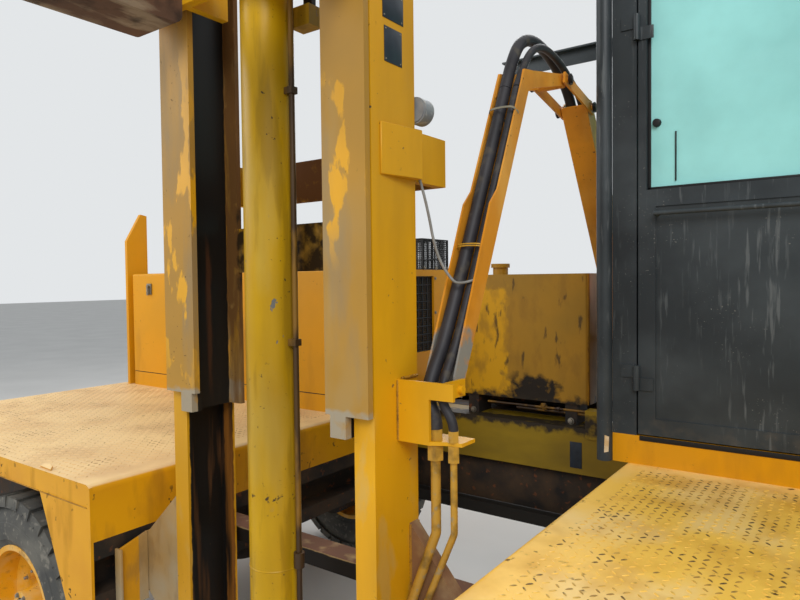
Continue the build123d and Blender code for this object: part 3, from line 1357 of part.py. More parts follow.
with BuildPart() as straps:
    along = (Vector(*PIVOT_B) - Vector(*PIVOT_A)).normalized()
    across = Vector(-along.Y, along.X) * (STRAP_SECTION[1] / 2)
    start = Vector(*PIVOT_A) - along * BOSS_RADIUS
    stop = Vector(*PIVOT_B) + along * BOSS_RADIUS
    corners = (start - across, stop - across, stop + across, start + across)
    for sign in (-1, 1):
        x = ARM_X + sign * STRAP_GAP
        plate_x = sorted((x, x + sign * STRAP_SECTION[0]))
        outline(side_plane(plate_x[0]), [(c.X, c.Y) for c in corners], STRAP_SECTION[0])
    for sign in (-1, 1):
        pin_x = (ARM_X + sign * (STRAP_GAP - 13), ARM_X + sign * (STRAP_GAP + STRAP_SECTION[0] + 8))
        for pivot in (PIVOT_A, PIVOT_B):
            rod(tuple(sorted(pin_x)), *pivot, PIVOT_PIN)
save(straps, "straps")

with BuildPart() as chassis_arm:
    foot = Vector(*PIVOT_C)
    head = Vector(*PIVOT_B)
    down = (foot - head).normalized()
    rear = Vector(-down.Y, down.X)
    web = -CHASSIS_ARM_WEB
    top_rear = web + CHASSIS_ARM_DEPTHS[0]
    foot_rear = web + CHASSIS_ARM_DEPTHS[1]
    corners = (
        head - down * 24 + rear * web,
        foot + down * 30 + rear * web,
        foot + down * 60 + rear * (web + 40),
        foot + down * 60 + rear * (foot_rear - 40),
        foot + down * 20 + rear * foot_rear,
        head - down * 10 + rear * top_rear,
        head - down * 24 + rear * (top_rear - 20),
    )
    outline(
        side_plane(ARM_X - CHASSIS_ARM_WIDTH / 2),
        [(c.X, c.Y) for c in corners],
        CHASSIS_ARM_WIDTH,
    )
    inner = (
        head - down * 60 + rear * (web + ARM_PLATE),
        foot + down * 100 + rear * (web + ARM_PLATE),
        foot + down * 100 + rear * (foot_rear + 20),
        head - down * 60 + rear * (foot_rear + 20),
    )
    outline(
        side_plane(ARM_X - CHASSIS_ARM_WIDTH / 2 + ARM_PLATE),
        [(c.X, c.Y) for c in inner],
        CHASSIS_ARM_WIDTH - 2 * ARM_PLATE,
        mode=Mode.SUBTRACT,
    )
    plate = (
        foot - down * ARM_BULKHEAD + rear * (web + 1),
        foot - down * (ARM_BULKHEAD - STAND_PLATE) + rear * (web + 1),
        foot - down * (ARM_BULKHEAD - STAND_PLATE) + rear * top_rear,
        foot - down * ARM_BULKHEAD + rear * top_rear,
    )
    outline(
        side_plane(ARM_X - CHASSIS_ARM_WIDTH / 2 + 1),
        [(c.X, c.Y) for c in plate],
        CHASSIS_ARM_WIDTH - 2,
    )
    through = span(ARM_X, 2 * CHASSIS_ARM_WIDTH)
    rod(through, *PIVOT_B, PIVOT_PIN + FIT, mode=Mode.SUBTRACT)
save(chassis_arm, "chassis_arm")

with BuildPart() as arm_stand:
    for sign in (-1, 1):
        x = ARM_X + sign * (CHASSIS_ARM_WIDTH / 2 + RUN)
        plate_x = tuple(sorted((x, x + sign * STAND_PLATE)))
        outline(
            side_plane(plate_x[0]),
            (
                (FAR_BEAM_FACE + SILL_DEPTH + 2, FAR_BEAM_TOP),
                (FAR_BEAM_FACE + FAR_BEAM_DEPTH, FAR_BEAM_TOP),
                (PIVOT_C[0] + 60, PIVOT_C[1] - 30),
                (PIVOT_C[0] + 40, PIVOT_C[1] + 40),
                (PIVOT_C[0] - 40, PIVOT_C[1] + 40),
                (PIVOT_C[0] - 80, PIVOT_C[1] - 60),
            ),
            STAND_PLATE,
        )
        nut_x = tuple(sorted((x + sign * STAND_PLATE, x + sign * (STAND_PLATE + 26))))
        rod(nut_x, *PIVOT_C, 20)
save(arm_stand, "arm_stand")

# Hoses clipped along both arms, with free loops over the two straps
HOSE_FOOT = (PIPE_Y, BRACKET_Z[0] + BRACKET_PLATE + FERRULE_LENGTH)
HOSE_TOE = (ARM_FOOT[0] + 10.0, ARM_FOOT[1] + 52.0)
HOSE_LOW = (ARM_FOOT[0] + 106.0, ARM_LIP_Z + 16.0)
HOSE_HEAD = (ARM_HEAD[0] - 10.0, ARM_HEAD[1] - 60.0)
with BuildPart() as mast_hoses:
    for (x, radius), (pipe_x, *_) in zip(HOSES, PIPES):
        tube(
            (
                (pipe_x, *HOSE_FOOT),
                (pipe_x, HOSE_FOOT[0], HOSE_FOOT[1] + 24),
                (x, HOSE_FOOT[0], HOSE_FOOT[1] + 80),
                (x, *HOSE_TOE),
                (x, *HOSE_LOW),
                (x, *HOSE_HEAD),
            ),
            26,
            radius,
        )
save(mast_hoses, "mast_hoses")

HOSE_LAY = web + ARM_PLATE + 24
LOOP_END = head + down * 60 + rear * HOSE_LAY
with BuildPart() as arm_hoses:
    for x, radius in HOSES:
        low = foot - down * ARM_BULKHEAD + rear * HOSE_LAY
        tube(((x, LOOP_END.X, LOOP_END.Y), (x, low.X, low.Y)), 0, radius)
save(arm_hoses, "arm_hoses")

LOOP_TURN = head - down * 40 + rear * HOSE_LAY
with BuildPart() as hose_loop:
    for (x, radius), drop in zip(HOSES, (0.0, 34.0)):
        tube(
            (
                (x, HOSE_HEAD[0] + 1, HOSE_HEAD[1] + 2),
                (x, HOSE_HEAD[0] + 66, HOSE_HEAD[1] + 142 - drop),
                (x, HOSE_HEAD[0] + 154, HOSE_HEAD[1] + 210 - drop),
                (x, HOSE_HEAD[0] + 246, HOSE_HEAD[1] + 226 - drop),
                (x, HOSE_HEAD[0] + 366, HOSE_HEAD[1] + 210 - drop),
                (x, HOSE_HEAD[0] + 496, HOSE_HEAD[1] + 159 - drop),
                (x, LOOP_TURN.X, LOOP_TURN.Y),
                (x, (LOOP_END - down).X, (LOOP_END - down).Y),
            ),
            70,
            radius,
        )
save(hose_loop, "hose_loop")

# Thin cable that hangs from the yoke to the mast arm, and the small work lamp above the yoke
CABLE = (
    (MAST_RIGHT + CABLE_RADIUS, MAST_FACE + 215.0, YOKE_LOW + 12.0),
    (MAST_RIGHT + 24.0, MAST_FACE + 222.0, YOKE_LOW - 60.0),
    (MAST_RIGHT + 44.0, MAST_FACE + 236.0, YOKE_LOW - 205.0),
    (MAST_RIGHT + 85.0, MAST_FACE + 256.0, YOKE_LOW - 285.0),
    (ARM_SIDES[1] - 34.0, MAST_FACE + 270.0, YOKE_LOW - 292.0),
    (ARM_SIDES[1] - ARM_PLATE - CABLE_RADIUS, MAST_FACE + 296.0, YOKE_LOW - 282.0),
)
with BuildPart() as hanging_cable:
    tube(CABLE, 22, CABLE_RADIUS)
save(hanging_cable, "hanging_cable")

with BuildPart() as work_lamp:
    lamp = (MAST_RIGHT - 7.0, MAST_FACE + MAST_DEPTH + 34.0, YOKE_TOP + LAMP_RADIUS + 24.0)
    with Locations(Location(lamp, (90, 0, 0))):
        Cylinder(LAMP_RADIUS, 44)
        Cylinder(LAMP_RADIUS - 5, 50)
    block(
        span(lamp[0] - 20, 30),
        (MAST_FACE + MAST_DEPTH, lamp[1]),
        span(lamp[2], 24),
    )
save(work_lamp, "work_lamp")

# Steps up to the platform ahead of the front wheel, one each side
with BuildPart() as steps:
    for side in (NEAR, FAR - STEP_DEPTH):
        for x in (STEP_X, STEP_X + STEP_LENGTH - STEP_PLATE):
            hanger = (x, x + STEP_PLATE)
            block(hanger, (side, side + STEP_DEPTH), (STEP_Z[0], DECK_Z - EDGE_DEPTH))
        for z in STEP_Z:
            block((STEP_X, STEP_X + STEP_LENGTH), (side, side + STEP_DEPTH), (z, z + STEP_PLATE))
save(steps, "steps")
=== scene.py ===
"""Looks for a side-loading forklift truck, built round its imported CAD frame.

Sizes in the classes are in millimetres, in the truck's own frame: +x is the cab end, -y is the side
that the forks reach out of, and z = 0 is the ground. Meshes are scaled to metres as they are saved.
"""

from __future__ import annotations

import itertools
import json
import logging
import math
from dataclasses import dataclass, field
from enum import Enum

import bmesh
import bpy
from mathutils import Matrix, Vector
from mathutils.bvhtree import BVHTree

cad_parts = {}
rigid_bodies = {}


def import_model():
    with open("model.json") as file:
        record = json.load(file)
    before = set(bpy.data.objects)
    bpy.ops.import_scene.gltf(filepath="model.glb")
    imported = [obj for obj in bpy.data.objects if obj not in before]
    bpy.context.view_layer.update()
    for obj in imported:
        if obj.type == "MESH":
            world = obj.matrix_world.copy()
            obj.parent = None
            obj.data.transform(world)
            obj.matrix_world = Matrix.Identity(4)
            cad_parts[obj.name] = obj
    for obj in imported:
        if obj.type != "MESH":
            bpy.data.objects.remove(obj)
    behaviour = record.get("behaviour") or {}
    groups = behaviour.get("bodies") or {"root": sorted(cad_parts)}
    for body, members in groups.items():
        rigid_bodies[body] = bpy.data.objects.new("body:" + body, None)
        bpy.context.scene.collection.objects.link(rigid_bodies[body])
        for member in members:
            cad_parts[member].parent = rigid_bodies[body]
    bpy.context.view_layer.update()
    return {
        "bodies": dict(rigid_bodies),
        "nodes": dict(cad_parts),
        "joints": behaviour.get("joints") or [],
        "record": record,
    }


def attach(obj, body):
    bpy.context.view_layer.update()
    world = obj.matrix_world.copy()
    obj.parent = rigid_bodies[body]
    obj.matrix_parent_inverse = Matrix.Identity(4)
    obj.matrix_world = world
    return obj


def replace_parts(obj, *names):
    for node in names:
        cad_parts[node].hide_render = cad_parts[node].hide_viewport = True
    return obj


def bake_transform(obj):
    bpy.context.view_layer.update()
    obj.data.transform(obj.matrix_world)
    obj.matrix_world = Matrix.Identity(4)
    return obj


LOG = logging.getLogger("truck")
MM = 0.001
DECK_TOP = 1060.0
WIDE = 99999.0  # a coat's box has no end on an axis with this limit
WANDER_MM = 45.0  # how long the waves are in the edge of a coat's box
PATCH_SOFT = 0.06  # how gently a coat ends at the edge of its patches
SHIFT_STEP = (3.1, 1.7, 2.3)  # how far one shift slides a coat's pattern along x, y and z
FACING = (0.6, 0.8)  # how squarely a face looks a coat's way, from none of the coat to all of it
Point = tuple[float, float, float]
Box = tuple[Point, Point]


class Slot(Enum):
    """The record's material slots."""

    AXLE_PAINT = "axle_paint"
    BLACK_MESH = "black_mesh"
    CHASSIS_PAINT = "chassis_paint"
    DECK_PAINT = "deck_paint"
    GREASED_STEEL = "greased_steel"
    HOSE_RUBBER = "hose_rubber"
    MAST_PAINT = "mast_paint"
    ROLLER_STEEL = "roller_steel"
    SEAT_VINYL = "seat_vinyl"
    TYRE = "tyre"


class Stiffness(Enum):
    """How readily a hose or cable bends."""

    STIFF = "stiff"
    MEDIUM = "medium"
    LIMP = "limp"


class Pane(Enum):
    """The axis that a window pane faces along."""

    ACROSS_THE_ENDS = 0
    ALONG_THE_SIDES = 1


def linear(code: str) -> tuple[float, float, float, float]:
    """Turn an sRGB hex colour into the linear colour that a shader takes.

    Args:
        code: Six hex digits.

    Returns:
        Red, green and blue from 0 to 1, and an alpha of 1.
    """
    parts = [int(code[i : i + 2], 16) / 255 for i in (0, 2, 4)]
    flat = [c / 12.92 if c <= 0.04045 else ((c + 0.055) / 1.055) ** 2.4 for c in parts]
    return (flat[0], flat[1], flat[2], 1.0)


def add_node(
    tree: bpy.types.NodeTree, kind: str, inputs: dict | None = None, **settings: object
) -> bpy.types.Node:
    """Add a shader node with its settings and links.

    Args:
        tree: The material's node tree.
        kind: The node's Blender type.
        inputs: Values or sockets for its inputs, by name or number.
        **settings: The node's own properties.

    Returns:
        The new node.
    """
    node = tree.nodes.new(kind)
    for key, value in settings.items():
        setattr(node, key, value)
    for key, value in (inputs or {}).items():
        if isinstance(value, bpy.types.NodeSocket):
            tree.links.new(value, node.inputs[key])
        else:
            node.inputs[key].default_value = value
    return node


@dataclass(frozen=True)
class Coat:
    """A stain, chip or layer over the base finish.

    Its outline is a cloud pattern of size_mm, shown where the pattern is above its limit. Where
    patch_mm is given, the coat also keeps to the larger patches of that size. It may be kept to
    faces that look one way, and to a box between low and high with edges that fade over blur_mm.
    """

    colour: str
    size_mm: float
    limit: float
    soft: float = 0.03
    roughness: float = 0.6
    metallic: float = 0.0
    strength: float = 1.0
    stretch: Point = (1.0, 1.0, 1.0)
    patch_mm: float = 0.0
    patch_limit: float = 0.5
    relief_mm: float = 0.0
    shift: float = 0.0
    facing: Point | None = None
    low: Point | None = None
    high: Point | None = None
    blur_mm: float = 12.0


@dataclass(frozen=True)
class Finish:
    """A real finish: a base, the coats over it and its fine texture."""

    name: str
    colour: str
    roughness: float
    metallic: float = 0.0
    coats: tuple[Coat, ...] = ()
    fade: str | None = None
    fade_mm: float = 420.0
    grain_mm: float = 2.5
    grain_relief_mm: float = 0.05
    specular: float = 0.3

    def pattern(
        self, tree: bpy.types.NodeTree, place: bpy.types.NodeSocket, coat: Coat
    ) -> bpy.types.NodeSocket:
        """Make the factor, 0 to 1, that a coat is mixed in by.

        Args:
            tree: The material's node tree.
            place: The object coordinates.
            coat: The coat.

        Returns:
            The socket of the factor.
        """
        shift = tuple(coat.shift * step for step in SHIFT_STEP)
        mapped = add_node(
            tree,
            "ShaderNodeMapping",
            {"Vector": place, "Location": shift, "Scale": coat.stretch},
        ).outputs[0]
        clouds = add_node(
            tree,
            "ShaderNodeTexNoise",
            {"Vector": mapped, "Scale": 1 / (coat.size_mm * MM), "Detail": 6.0},
        )
        factor = add_node(
            tree,
            "ShaderNodeMapRange",
            {
                "Value": clouds.outputs[0],
                "From Min": coat.limit - coat.soft,
                "From Max": coat.limit + coat.soft,
                "To Max": coat.strength,
            },
        ).outputs[0]
        if coat.patch_mm:
            patches = add_node(
                tree,
                "ShaderNodeTexNoise",
                {"Vector": mapped, "Scale": 1 / (coat.patch_mm * MM), "Detail": 3.0},
            )
            keep = add_node(
                tree,
                "ShaderNodeMapRange",
                {
                    "Value": patches.outputs[0],
                    "From Min": coat.patch_limit - PATCH_SOFT,
                    "From Max": coat.patch_limit + PATCH_SOFT,
                },
            )
            factor = add_node(
                tree, "ShaderNodeMath", {0: factor, 1: keep.outputs[0]}, operation="MULTIPLY"
            ).outputs[0]
        if coat.facing:
            normal = add_node(tree, "ShaderNodeTexCoord").outputs["Normal"]
            along = add_node(
                tree, "ShaderNodeVectorMath", {0: normal, 1: coat.facing}, operation="DOT_PRODUCT"
            )
            turned = add_node(
                tree,
                "ShaderNodeMapRange",
                {"Value": along.outputs["Value"], "From Min": FACING[0], "From Max": FACING[1]},
            )
            factor = add_node(
                tree, "ShaderNodeMath", {0: factor, 1: turned.outputs[0]}, operation="MULTIPLY"
            ).outputs[0]
        if coat.low and coat.high:
            factor = self.boxed(tree, place, coat, factor)
        return factor

    def boxed(
        self,
        tree: bpy.types.NodeTree,
        place: bpy.types.NodeSocket,
        coat: Coat,
        factor: bpy.types.NodeSocket,
    ) -> bpy.types.NodeSocket:
        """Keep a coat inside its box, whose edges fade and wander.

        Args:
            tree: The material's node tree.
            place: The object coordinates.
            coat: The coat.
            factor: The factor that the coat has without its box.

        Returns:
            The socket of the new factor.
        """
        split = add_node(tree, "ShaderNodeSeparateXYZ", {"Vector": place})
        waves = add_node(
            tree,
            "ShaderNodeTexNoise",
            {"Vector": place, "Scale": 1 / (WANDER_MM * MM), "Detail": 5.0},
        )
        reach = 2 * coat.blur_mm * MM
        wander = add_node(
            tree,
            "ShaderNodeMapRange",
            {"Value": waves.outputs[0], "To Min": -reach, "To Max": reach},
        ).outputs[0]
        soft = coat.blur_mm / 2 * MM
        for index, (low, high) in enumerate(zip(coat.low, coat.high)):
            if high - low > WIDE / 2:
                continue
            half = (high - low) / 2 * MM
            shifted = add_node(
                tree, "ShaderNodeMath", {0: split.outputs[index], 1: wander}, operation="ADD"
            )
            away = add_node(
                tree,
                "ShaderNodeMath",
                {0: shifted.outputs[0], 1: (low + high) / 2 * MM},
                operation="SUBTRACT",
            )
            size = add_node(tree, "ShaderNodeMath", {0: away.outputs[0]}, operation="ABSOLUTE")
            inside = add_node(
                tree,
                "ShaderNodeMapRange",
                {"Value": size.outputs[0], "From Min": half + soft, "From Max": half - soft},
            )
            factor = add_node(
                tree, "ShaderNodeMath", {0: factor, 1: inside.outputs[0]}, operation="MULTIPLY"
            ).outputs[0]
        return factor

    def build(self) -> bpy.types.Material:
        """Build the material, or give back the one already built.

        Returns:
            The material.
        """
        known = bpy.data.materials.get(self.name)
        if known is not None:
            return known
        material = bpy.data.materials.new(self.name)
        material.use_nodes = True
        tree = material.node_tree
        shader = tree.nodes["Principled BSDF"]
        place = add_node(tree, "ShaderNodeTexCoord").outputs["Object"]
        colour: object = linear(self.colour)
        rough: object = self.roughness
        metal: object = self.metallic
        if self.fade:
            faded = self.pattern(tree, place, Coat(self.fade, self.fade_mm, 0.5, soft=0.16))
            inputs = {0: faded, 6: colour, 7: linear(self.fade)}
            colour = add_node(tree, "ShaderNodeMix", inputs, data_type="RGBA").outputs[2]
        grain = add_node(
            tree,
            "ShaderNodeTexNoise",
            {"Vector": place, "Scale": 1 / (self.grain_mm * MM), "Detail": 4.0},
        ).outputs[0]
        height = add_node(
            tree, "ShaderNodeMath", {0: grain, 1: self.grain_relief_mm * MM}, operation="MULTIPLY"
        ).outputs[0]
        for coat in self.coats:
            factor = self.pattern(tree, place, coat)
            inputs = {0: factor, 6: colour, 7: linear(coat.colour)}
            colour = add_node(tree, "ShaderNodeMix", inputs, data_type="RGBA").outputs[2]
            inputs = {0: factor, 2: rough, 3: coat.roughness}
            rough = add_node(tree, "ShaderNodeMix", inputs).outputs[0]
            if self.metallic != coat.metallic or not isinstance(metal, float):
                inputs = {0: factor, 2: metal, 3: coat.metallic}
                metal = add_node(tree, "ShaderNodeMix", inputs).outputs[0]
            if coat.relief_mm:
                inputs = {0: factor, 1: coat.relief_mm * MM, 2: height}
                height = add_node(
                    tree, "ShaderNodeMath", inputs, operation="MULTIPLY_ADD"
                ).outputs[0]
        bump = add_node(tree, "ShaderNodeBump", {"Height": height, "Distance": 1.0})
        for name, value in (
            ("Base Color", colour),
            ("Roughness", rough),
            ("Metallic", metal),
            ("Normal", bump.outputs[0]),
        ):
            if isinstance(value, bpy.types.NodeSocket):
                tree.links.new(value, shader.inputs[name])
            else:
                shader.inputs[name].default_value = value
        if not self.metallic:
            shader.inputs["Specular IOR Level"].default_value = self.specular
        return material


@dataclass(frozen=True)
class Tinted(Finish):
    """Tinted safety glass: clear, faintly coloured and a little dusty."""

    opacity: float = 0.3

    def build(self) -> bpy.types.Material:
        """Build the glass as a thin tinted sheet.

        Returns:
            The material.
        """
        known = bpy.data.materials.get(self.name)
        if known is not None:
            return known
        material = super().build()
        tree = material.node_tree
        place = add_node(tree, "ShaderNodeTexCoord").outputs["Object"]
        dust = self.pattern(tree, place, Coat(self.colour, 260.0, 0.5, soft=0.2, strength=0.22))
        alpha = add_node(tree, "ShaderNodeMath", {0: dust, 1: self.opacity}, operation="ADD")
        tree.links.new(alpha.outputs[0], tree.nodes["Principled BSDF"].inputs["Alpha"])
        return material


@dataclass(frozen=True)
class Finishes:
    """Every finish on the truck, named for what it really is."""

    # Chrome-yellow enamel on rolled steel: pale scuffs, grey chips and greasy runs
    mast: Finish = Finish(
        "yellow_enamel_mast",
        "dfa30c",
        0.45,
        fade="d3980f",
        grain_mm=3.0,
        coats=(
            Coat("c9a455", 70, 0.6, 0.05, 0.6, strength=0.6, stretch=(1, 1, 0.4), patch_mm=500),
            Coat("a0741a", 240, 0.58, 0.12, 0.6, strength=0.45, stretch=(1, 1, 0.2), shift=1),
            Coat("4a4238", 18, 0.69, 0.012, 0.75, patch_mm=260, patch_limit=0.57, relief_mm=-0.3),
            Coat("6b421c", 30, 0.71, 0.02, 0.85, patch_mm=300, patch_limit=0.56, shift=2),
            # Greased inside of the left channel, black with rust at its front edge
            Coat("171411", 40, 0.2, 0.05, 0.38, low=(-357, -411, -WIDE), high=(-286, -229, WIDE),
                 blur_mm=3),
            Coat("5a3a1e", 34, 0.6, 0.06, 0.7, strength=0.75, stretch=(1, 1, 0.07),
                 low=(-357, -411, -WIDE), high=(-286, -229, WIDE), blur_mm=3, shift=3),
            Coat("8a5518", 60, 0.5, 0.08, 0.7, strength=0.9, stretch=(1, 1, 0.08),
                 low=(-330, -246, -WIDE), high=(-286, -226, WIDE), blur_mm=4, shift=4),
            # Painted shade: the inner face of the plate across the back of the yoke, painted dark
            # rust-brown
            Coat("6e4314", 90, 0.3, 0.1, 0.7, low=(-330, -90, 2000), high=(465, -50, 2170)),
        ),
    )
    # Sun-bleached enamel of the inner mast: dull beige-yellow plates, black greasy channels
    inner_mast: Finish = Finish(
        "bleached_enamel_inner_mast",
        "b3842c",
        0.55,
        fade="a27a30",
        grain_mm=3.0,
        coats=(
            Coat("a38b5e", 90, 0.5, 0.1, 0.7, strength=0.75, stretch=(1, 1, 0.4), patch_mm=700,
                 low=(300, -WIDE, -WIDE), high=(520, WIDE, WIDE)),
            Coat("8f7a58", 120, 0.58, 0.07, 0.7, strength=0.7, stretch=(1, 1, 0.2), shift=9),
            Coat("dda015", 90, 0.57, 0.015, 0.45, stretch=(1, 1, 0.45), patch_mm=420,
                 patch_limit=0.53),
            Coat("4f3a1c", 11, 0.7, 0.015, 0.8, patch_mm=160, patch_limit=0.53, relief_mm=-0.2),
            Coat("9c8f78", 60, 0.4, 0.1, 0.7, low=(-400, -WIDE, 1200), high=(540, WIDE, 1390)),
            Coat("1b1917", 40, 0.2, 0.05, 0.36, low=(-320, -423, -WIDE), high=(-210, -262, WIDE),
                 blur_mm=2),
            Coat("6d4a22", 60, 0.45, 0.1, 0.7, stretch=(1, 1, 0.15), low=(-320, -262, -WIDE),
                 high=(-210, -230, WIDE), blur_mm=4, shift=2),
            Coat("1b1917", 40, 0.2, 0.05, 0.36, low=(350, -423, -WIDE), high=(450, 0, WIDE),
                 blur_mm=2),
            Coat("5e3517", 55, 0.6, 0.05, 0.7, strength=0.8, stretch=(1, 1, 0.08), patch_mm=400,
                 low=(-320, -419, -WIDE), high=(-216, -330, WIDE), blur_mm=8, shift=3),
            Coat("33240f", 120, 0.25, 0.1, 0.6, low=(-218, -262, 1700), high=(352, -230, 1990)),
        ),
    )
    # Enamel of the lift cylinder, olive with age, with grey chips down to the primer
    barrel: Finish = Finish(
        "aged_enamel_cylinder",
        "c69a0a",
        0.36,
        fade="b3890f",
        grain_mm=3.0,
        specular=0.22,
        coats=(
            Coat("b79c4a", 120, 0.57, 0.1, 0.5, strength=0.5, stretch=(1, 1, 0.3)),
            Coat("8f6d10", 46, 0.58, 0.05, 0.5, strength=0.6, stretch=(1, 1, 0.12), shift=3),
            Coat("8c6a14", 160, 0.58, 0.1, 0.5, strength=0.5, stretch=(1, 1, 0.15), shift=5),
            Coat("6b6964", 34, 0.665, 0.008, 0.6, patch_mm=240, patch_limit=0.58,
                 stretch=(1, 1, 0.6), relief_mm=-0.4, shift=6),
            Coat("3b3020", 12, 0.685, 0.012, 0.75, patch_mm=260, patch_limit=0.53, shift=7),
            Coat("4a3a24", 20, 0.6, 0.02, 0.75, low=(-40, -WIDE, 1080), high=(180, WIDE, 1100),
                 blur_mm=6, shift=8),
        ),
    )
    # The same enamel on folded plate, less knocked about
    plate: Finish = Finish(
        "yellow_enamel_plate",
        "de980a",
        0.4,
        fade="d3930d",
        grain_mm=4.0,
        specular=0.22,
        coats=(
            Coat("c98f24", 300, 0.55, 0.14, 0.5, strength=0.5),
            Coat("8a5c1c", 200, 0.64, 0.08, 0.6, strength=0.5, stretch=(1, 1, 0.3), shift=3),
            Coat("40301f", 16, 0.7, 0.015, 0.8, patch_mm=280, patch_limit=0.57, relief_mm=-0.25),
        ),
    )
    # Chassis beam enamel, green-brown with oil and road dirt, with painted shade: dark along the far
    # beam's top under the tank and near-black below 800 mm
    beam: Finish = Finish(
        "oily_enamel_chassis_painted_shade",
        "a98a10",
        0.5,
        fade="97780f",
        grain_mm=4.0,
        coats=(
            Coat("6b5714", 260, 0.5, 0.16, 0.55, strength=0.7, stretch=(0.4, 1, 1)),
            Coat("4a3a14", 240, 0.6, 0.16, 0.6, strength=0.45, stretch=(0.4, 1, 1), shift=3),
            # Painted shade: a dark band along the top of the far beam, under the tank
            Coat("2a2216", 60, 0.3, 0.1, 0.6, low=(-WIDE, 1100, 1004), high=(WIDE, 1300, 1080),
                 blur_mm=24),
            # Painted shade: near-black on every face below 800 mm, under the beams
            Coat("17140f", 60, 0.2, 0.1, 0.7, low=(-WIDE, -WIDE, 0), high=(WIDE, WIDE, 800)),
        ),
    )
    # Gusset and strut paint rubbed down to pale grey-beige
    rubbed: Finish = Finish(
        "rubbed_enamel_trolley",
        "ab8446",
        0.6,
        fade="97805a",
        grain_mm=3.0,
        coats=(
            Coat("a3967c", 190, 0.52, 0.12, 0.7, strength=0.7),
            Coat("c98d14", 60, 0.3, 0.05, 0.5, low=(-570, -527, 590), high=(-530, -458, 900),
                 blur_mm=2),
            Coat("7a5c34", 60, 0.62, 0.06, 0.8, strength=0.4, stretch=(1, 1, 0.4), shift=4),
            Coat("6b3f2c", 90, 0.45, 0.12, 0.8, strength=0.7, low=(480, -290, 640),
                 high=(830, -200, 1100), blur_mm=16, shift=5),
            Coat("16120f", 60, 0.2, 0.1, 0.6, facing=(0, -1, 0), low=(-540, -195, 780),
                 high=(810, -180, 836), blur_mm=3),
            Coat("6b4a38", 60, 0.35, 0.1, 0.8, facing=(0, 0, 1), low=(-540, -200, 830),
                 high=(810, -90, 845), blur_mm=3),
        ),
    )
    # Orange-yellow enamel of the hose arms, peeled to grey at the foot
    arms: Finish = Finish(
        "orange_enamel_arms",
        "dc8f1e",
        0.45,
        fade="cf8a2a",
        grain_mm=3.0,
        coats=(
            Coat("e2a94e", 160, 0.55, 0.1, 0.5, strength=0.6, stretch=(1, 1, 0.4)),
            Coat("a2641a", 200, 0.58, 0.1, 0.6, strength=0.5, shift=2),
            Coat("6a4a2a", 12, 0.68, 0.015, 0.8, patch_mm=200, patch_limit=0.53, shift=3),
            Coat("8a877f", 50, 0.35, 0.1, 0.6, low=(540, -300, 1400), high=(660, -150, 1600),
                 blur_mm=18),
        ),
    )
    # Deck enamel: golden sides, and a top dusted pale by boots and weather and painted paler still for
    # the sky's reflection off it
    deck_rear: Finish = Finish(
        "dust_and_sheen_enamel_deck",
        "dd9e10",
        0.42,
        fade="d6980f",
        specular=0.2,
        coats=(
            Coat("c9891a", 220, 0.56, 0.14, 0.5, strength=0.5),
            Coat("3c2c1c", 30, 0.665, 0.015, 0.8, patch_mm=170, patch_limit=0.54, relief_mm=-0.4),
            Coat("a87418", 120, 0.6, 0.06, 0.7, strength=0.6, stretch=(1, 1, 0.3), shift=7),
            # Pale top: dust, and a painted reflection of the sky
            Coat("ecca90", 300, 0.2, 0.1, 0.5, facing=(0, 0, 1)),
            Coat("c99f6e", 240, 0.56, 0.12, 0.6, strength=0.6, facing=(0, 0, 1), shift=5),
            Coat("6a4f34", 30, 0.7, 0.02, 0.8, patch_mm=260, patch_limit=0.58, facing=(0, 0, 1),
                 shift=4),
        ),
    )
    # The same deck by the cab, its top less pale, with brown smears where boots turn
    deck_front: Finish = Finish(
        "walked_enamel_deck",
        "dd9a0c",
        0.42,
        fade="d6940f",
        specular=0.2,
        coats=(
            Coat("c9891a", 220, 0.56, 0.14, 0.5, strength=0.5),
            Coat("f6c452", 300, 0.2, 0.1, 0.45, facing=(0, 0, 1)),
            Coat("f2d08a", 260, 0.54, 0.1, 0.5, strength=0.7, facing=(0, 0, 1), shift=2),
            Coat("c98f2a", 170, 0.58, 0.1, 0.6, strength=0.6, facing=(0, 0, 1), shift=6),
            Coat("5a4020", 26, 0.66, 0.03, 0.8, patch_mm=240, patch_limit=0.57,
                 facing=(0, 0, 1), shift=4),
        ),
    )
    # Chequer bars of the pale rear deck, rubbed to brown primer here and there
    bars_rear: Finish = Finish(
        "pale_enamel_bars",
        "f0cf96",
        0.42,
        fade="e0b678",
        specular=0.5,
        coats=(Coat("8a6236", 110, 0.58, 0.06, 0.6, strength=0.7),),
    )
    # Chequer bars by the cab, their paint kicked off down to dark primer
    bars_front: Finish = Finish(
        "kicked_enamel_bars",
        "f4c350",
        0.42,
        fade="e6b23e",
        specular=0.5,
        coats=(
            Coat("6e4c14", 230, 0.54, 0.05, 0.6, strength=0.8),
            Coat("32220e", 90, 0.57, 0.04, 0.65, strength=0.9, shift=4),
        ),
    )
    # Wheel enamel, dusty at the flange
    rim: Finish = Finish(
        "dusty_enamel_wheel",
        "e0a01a",
        0.45,
        fade="d6961c",
        coats=(
            Coat("d9b06a", 90, 0.55, 0.1, 0.6, strength=0.7),
            Coat("7a5a2a", 40, 0.62, 0.06, 0.7, strength=0.5, shift=3),
            Coat("2a2016", 10, 0.68, 0.02, 0.8, patch_mm=120, patch_limit=0.55, shift=6),
        ),
    )
    # Small dark anodised plates, even and faintly blue
    blank_plate: Finish = Finish("dark_anodised_plate", "1d232b", 0.4, fade="2b323b", fade_mm=60.0)
    # Weld metal under paint, browner than the plate beside it
    weld: Finish = Finish(
        "painted_weld_bead",
        "b98412",
        0.55,
        fade="8f651c",
        fade_mm=90.0,
        grain_mm=3.0,
        grain_relief_mm=0.3,
        coats=(Coat("5e3d1c", 30, 0.6, 0.06, 0.8, strength=0.7),),
    )
    # Dull aluminium of the radiator's fins and tubes
    core: Finish = Finish("dusty_aluminium_core", "4c4a46", 0.6, metallic=0.6, fade="35322e")
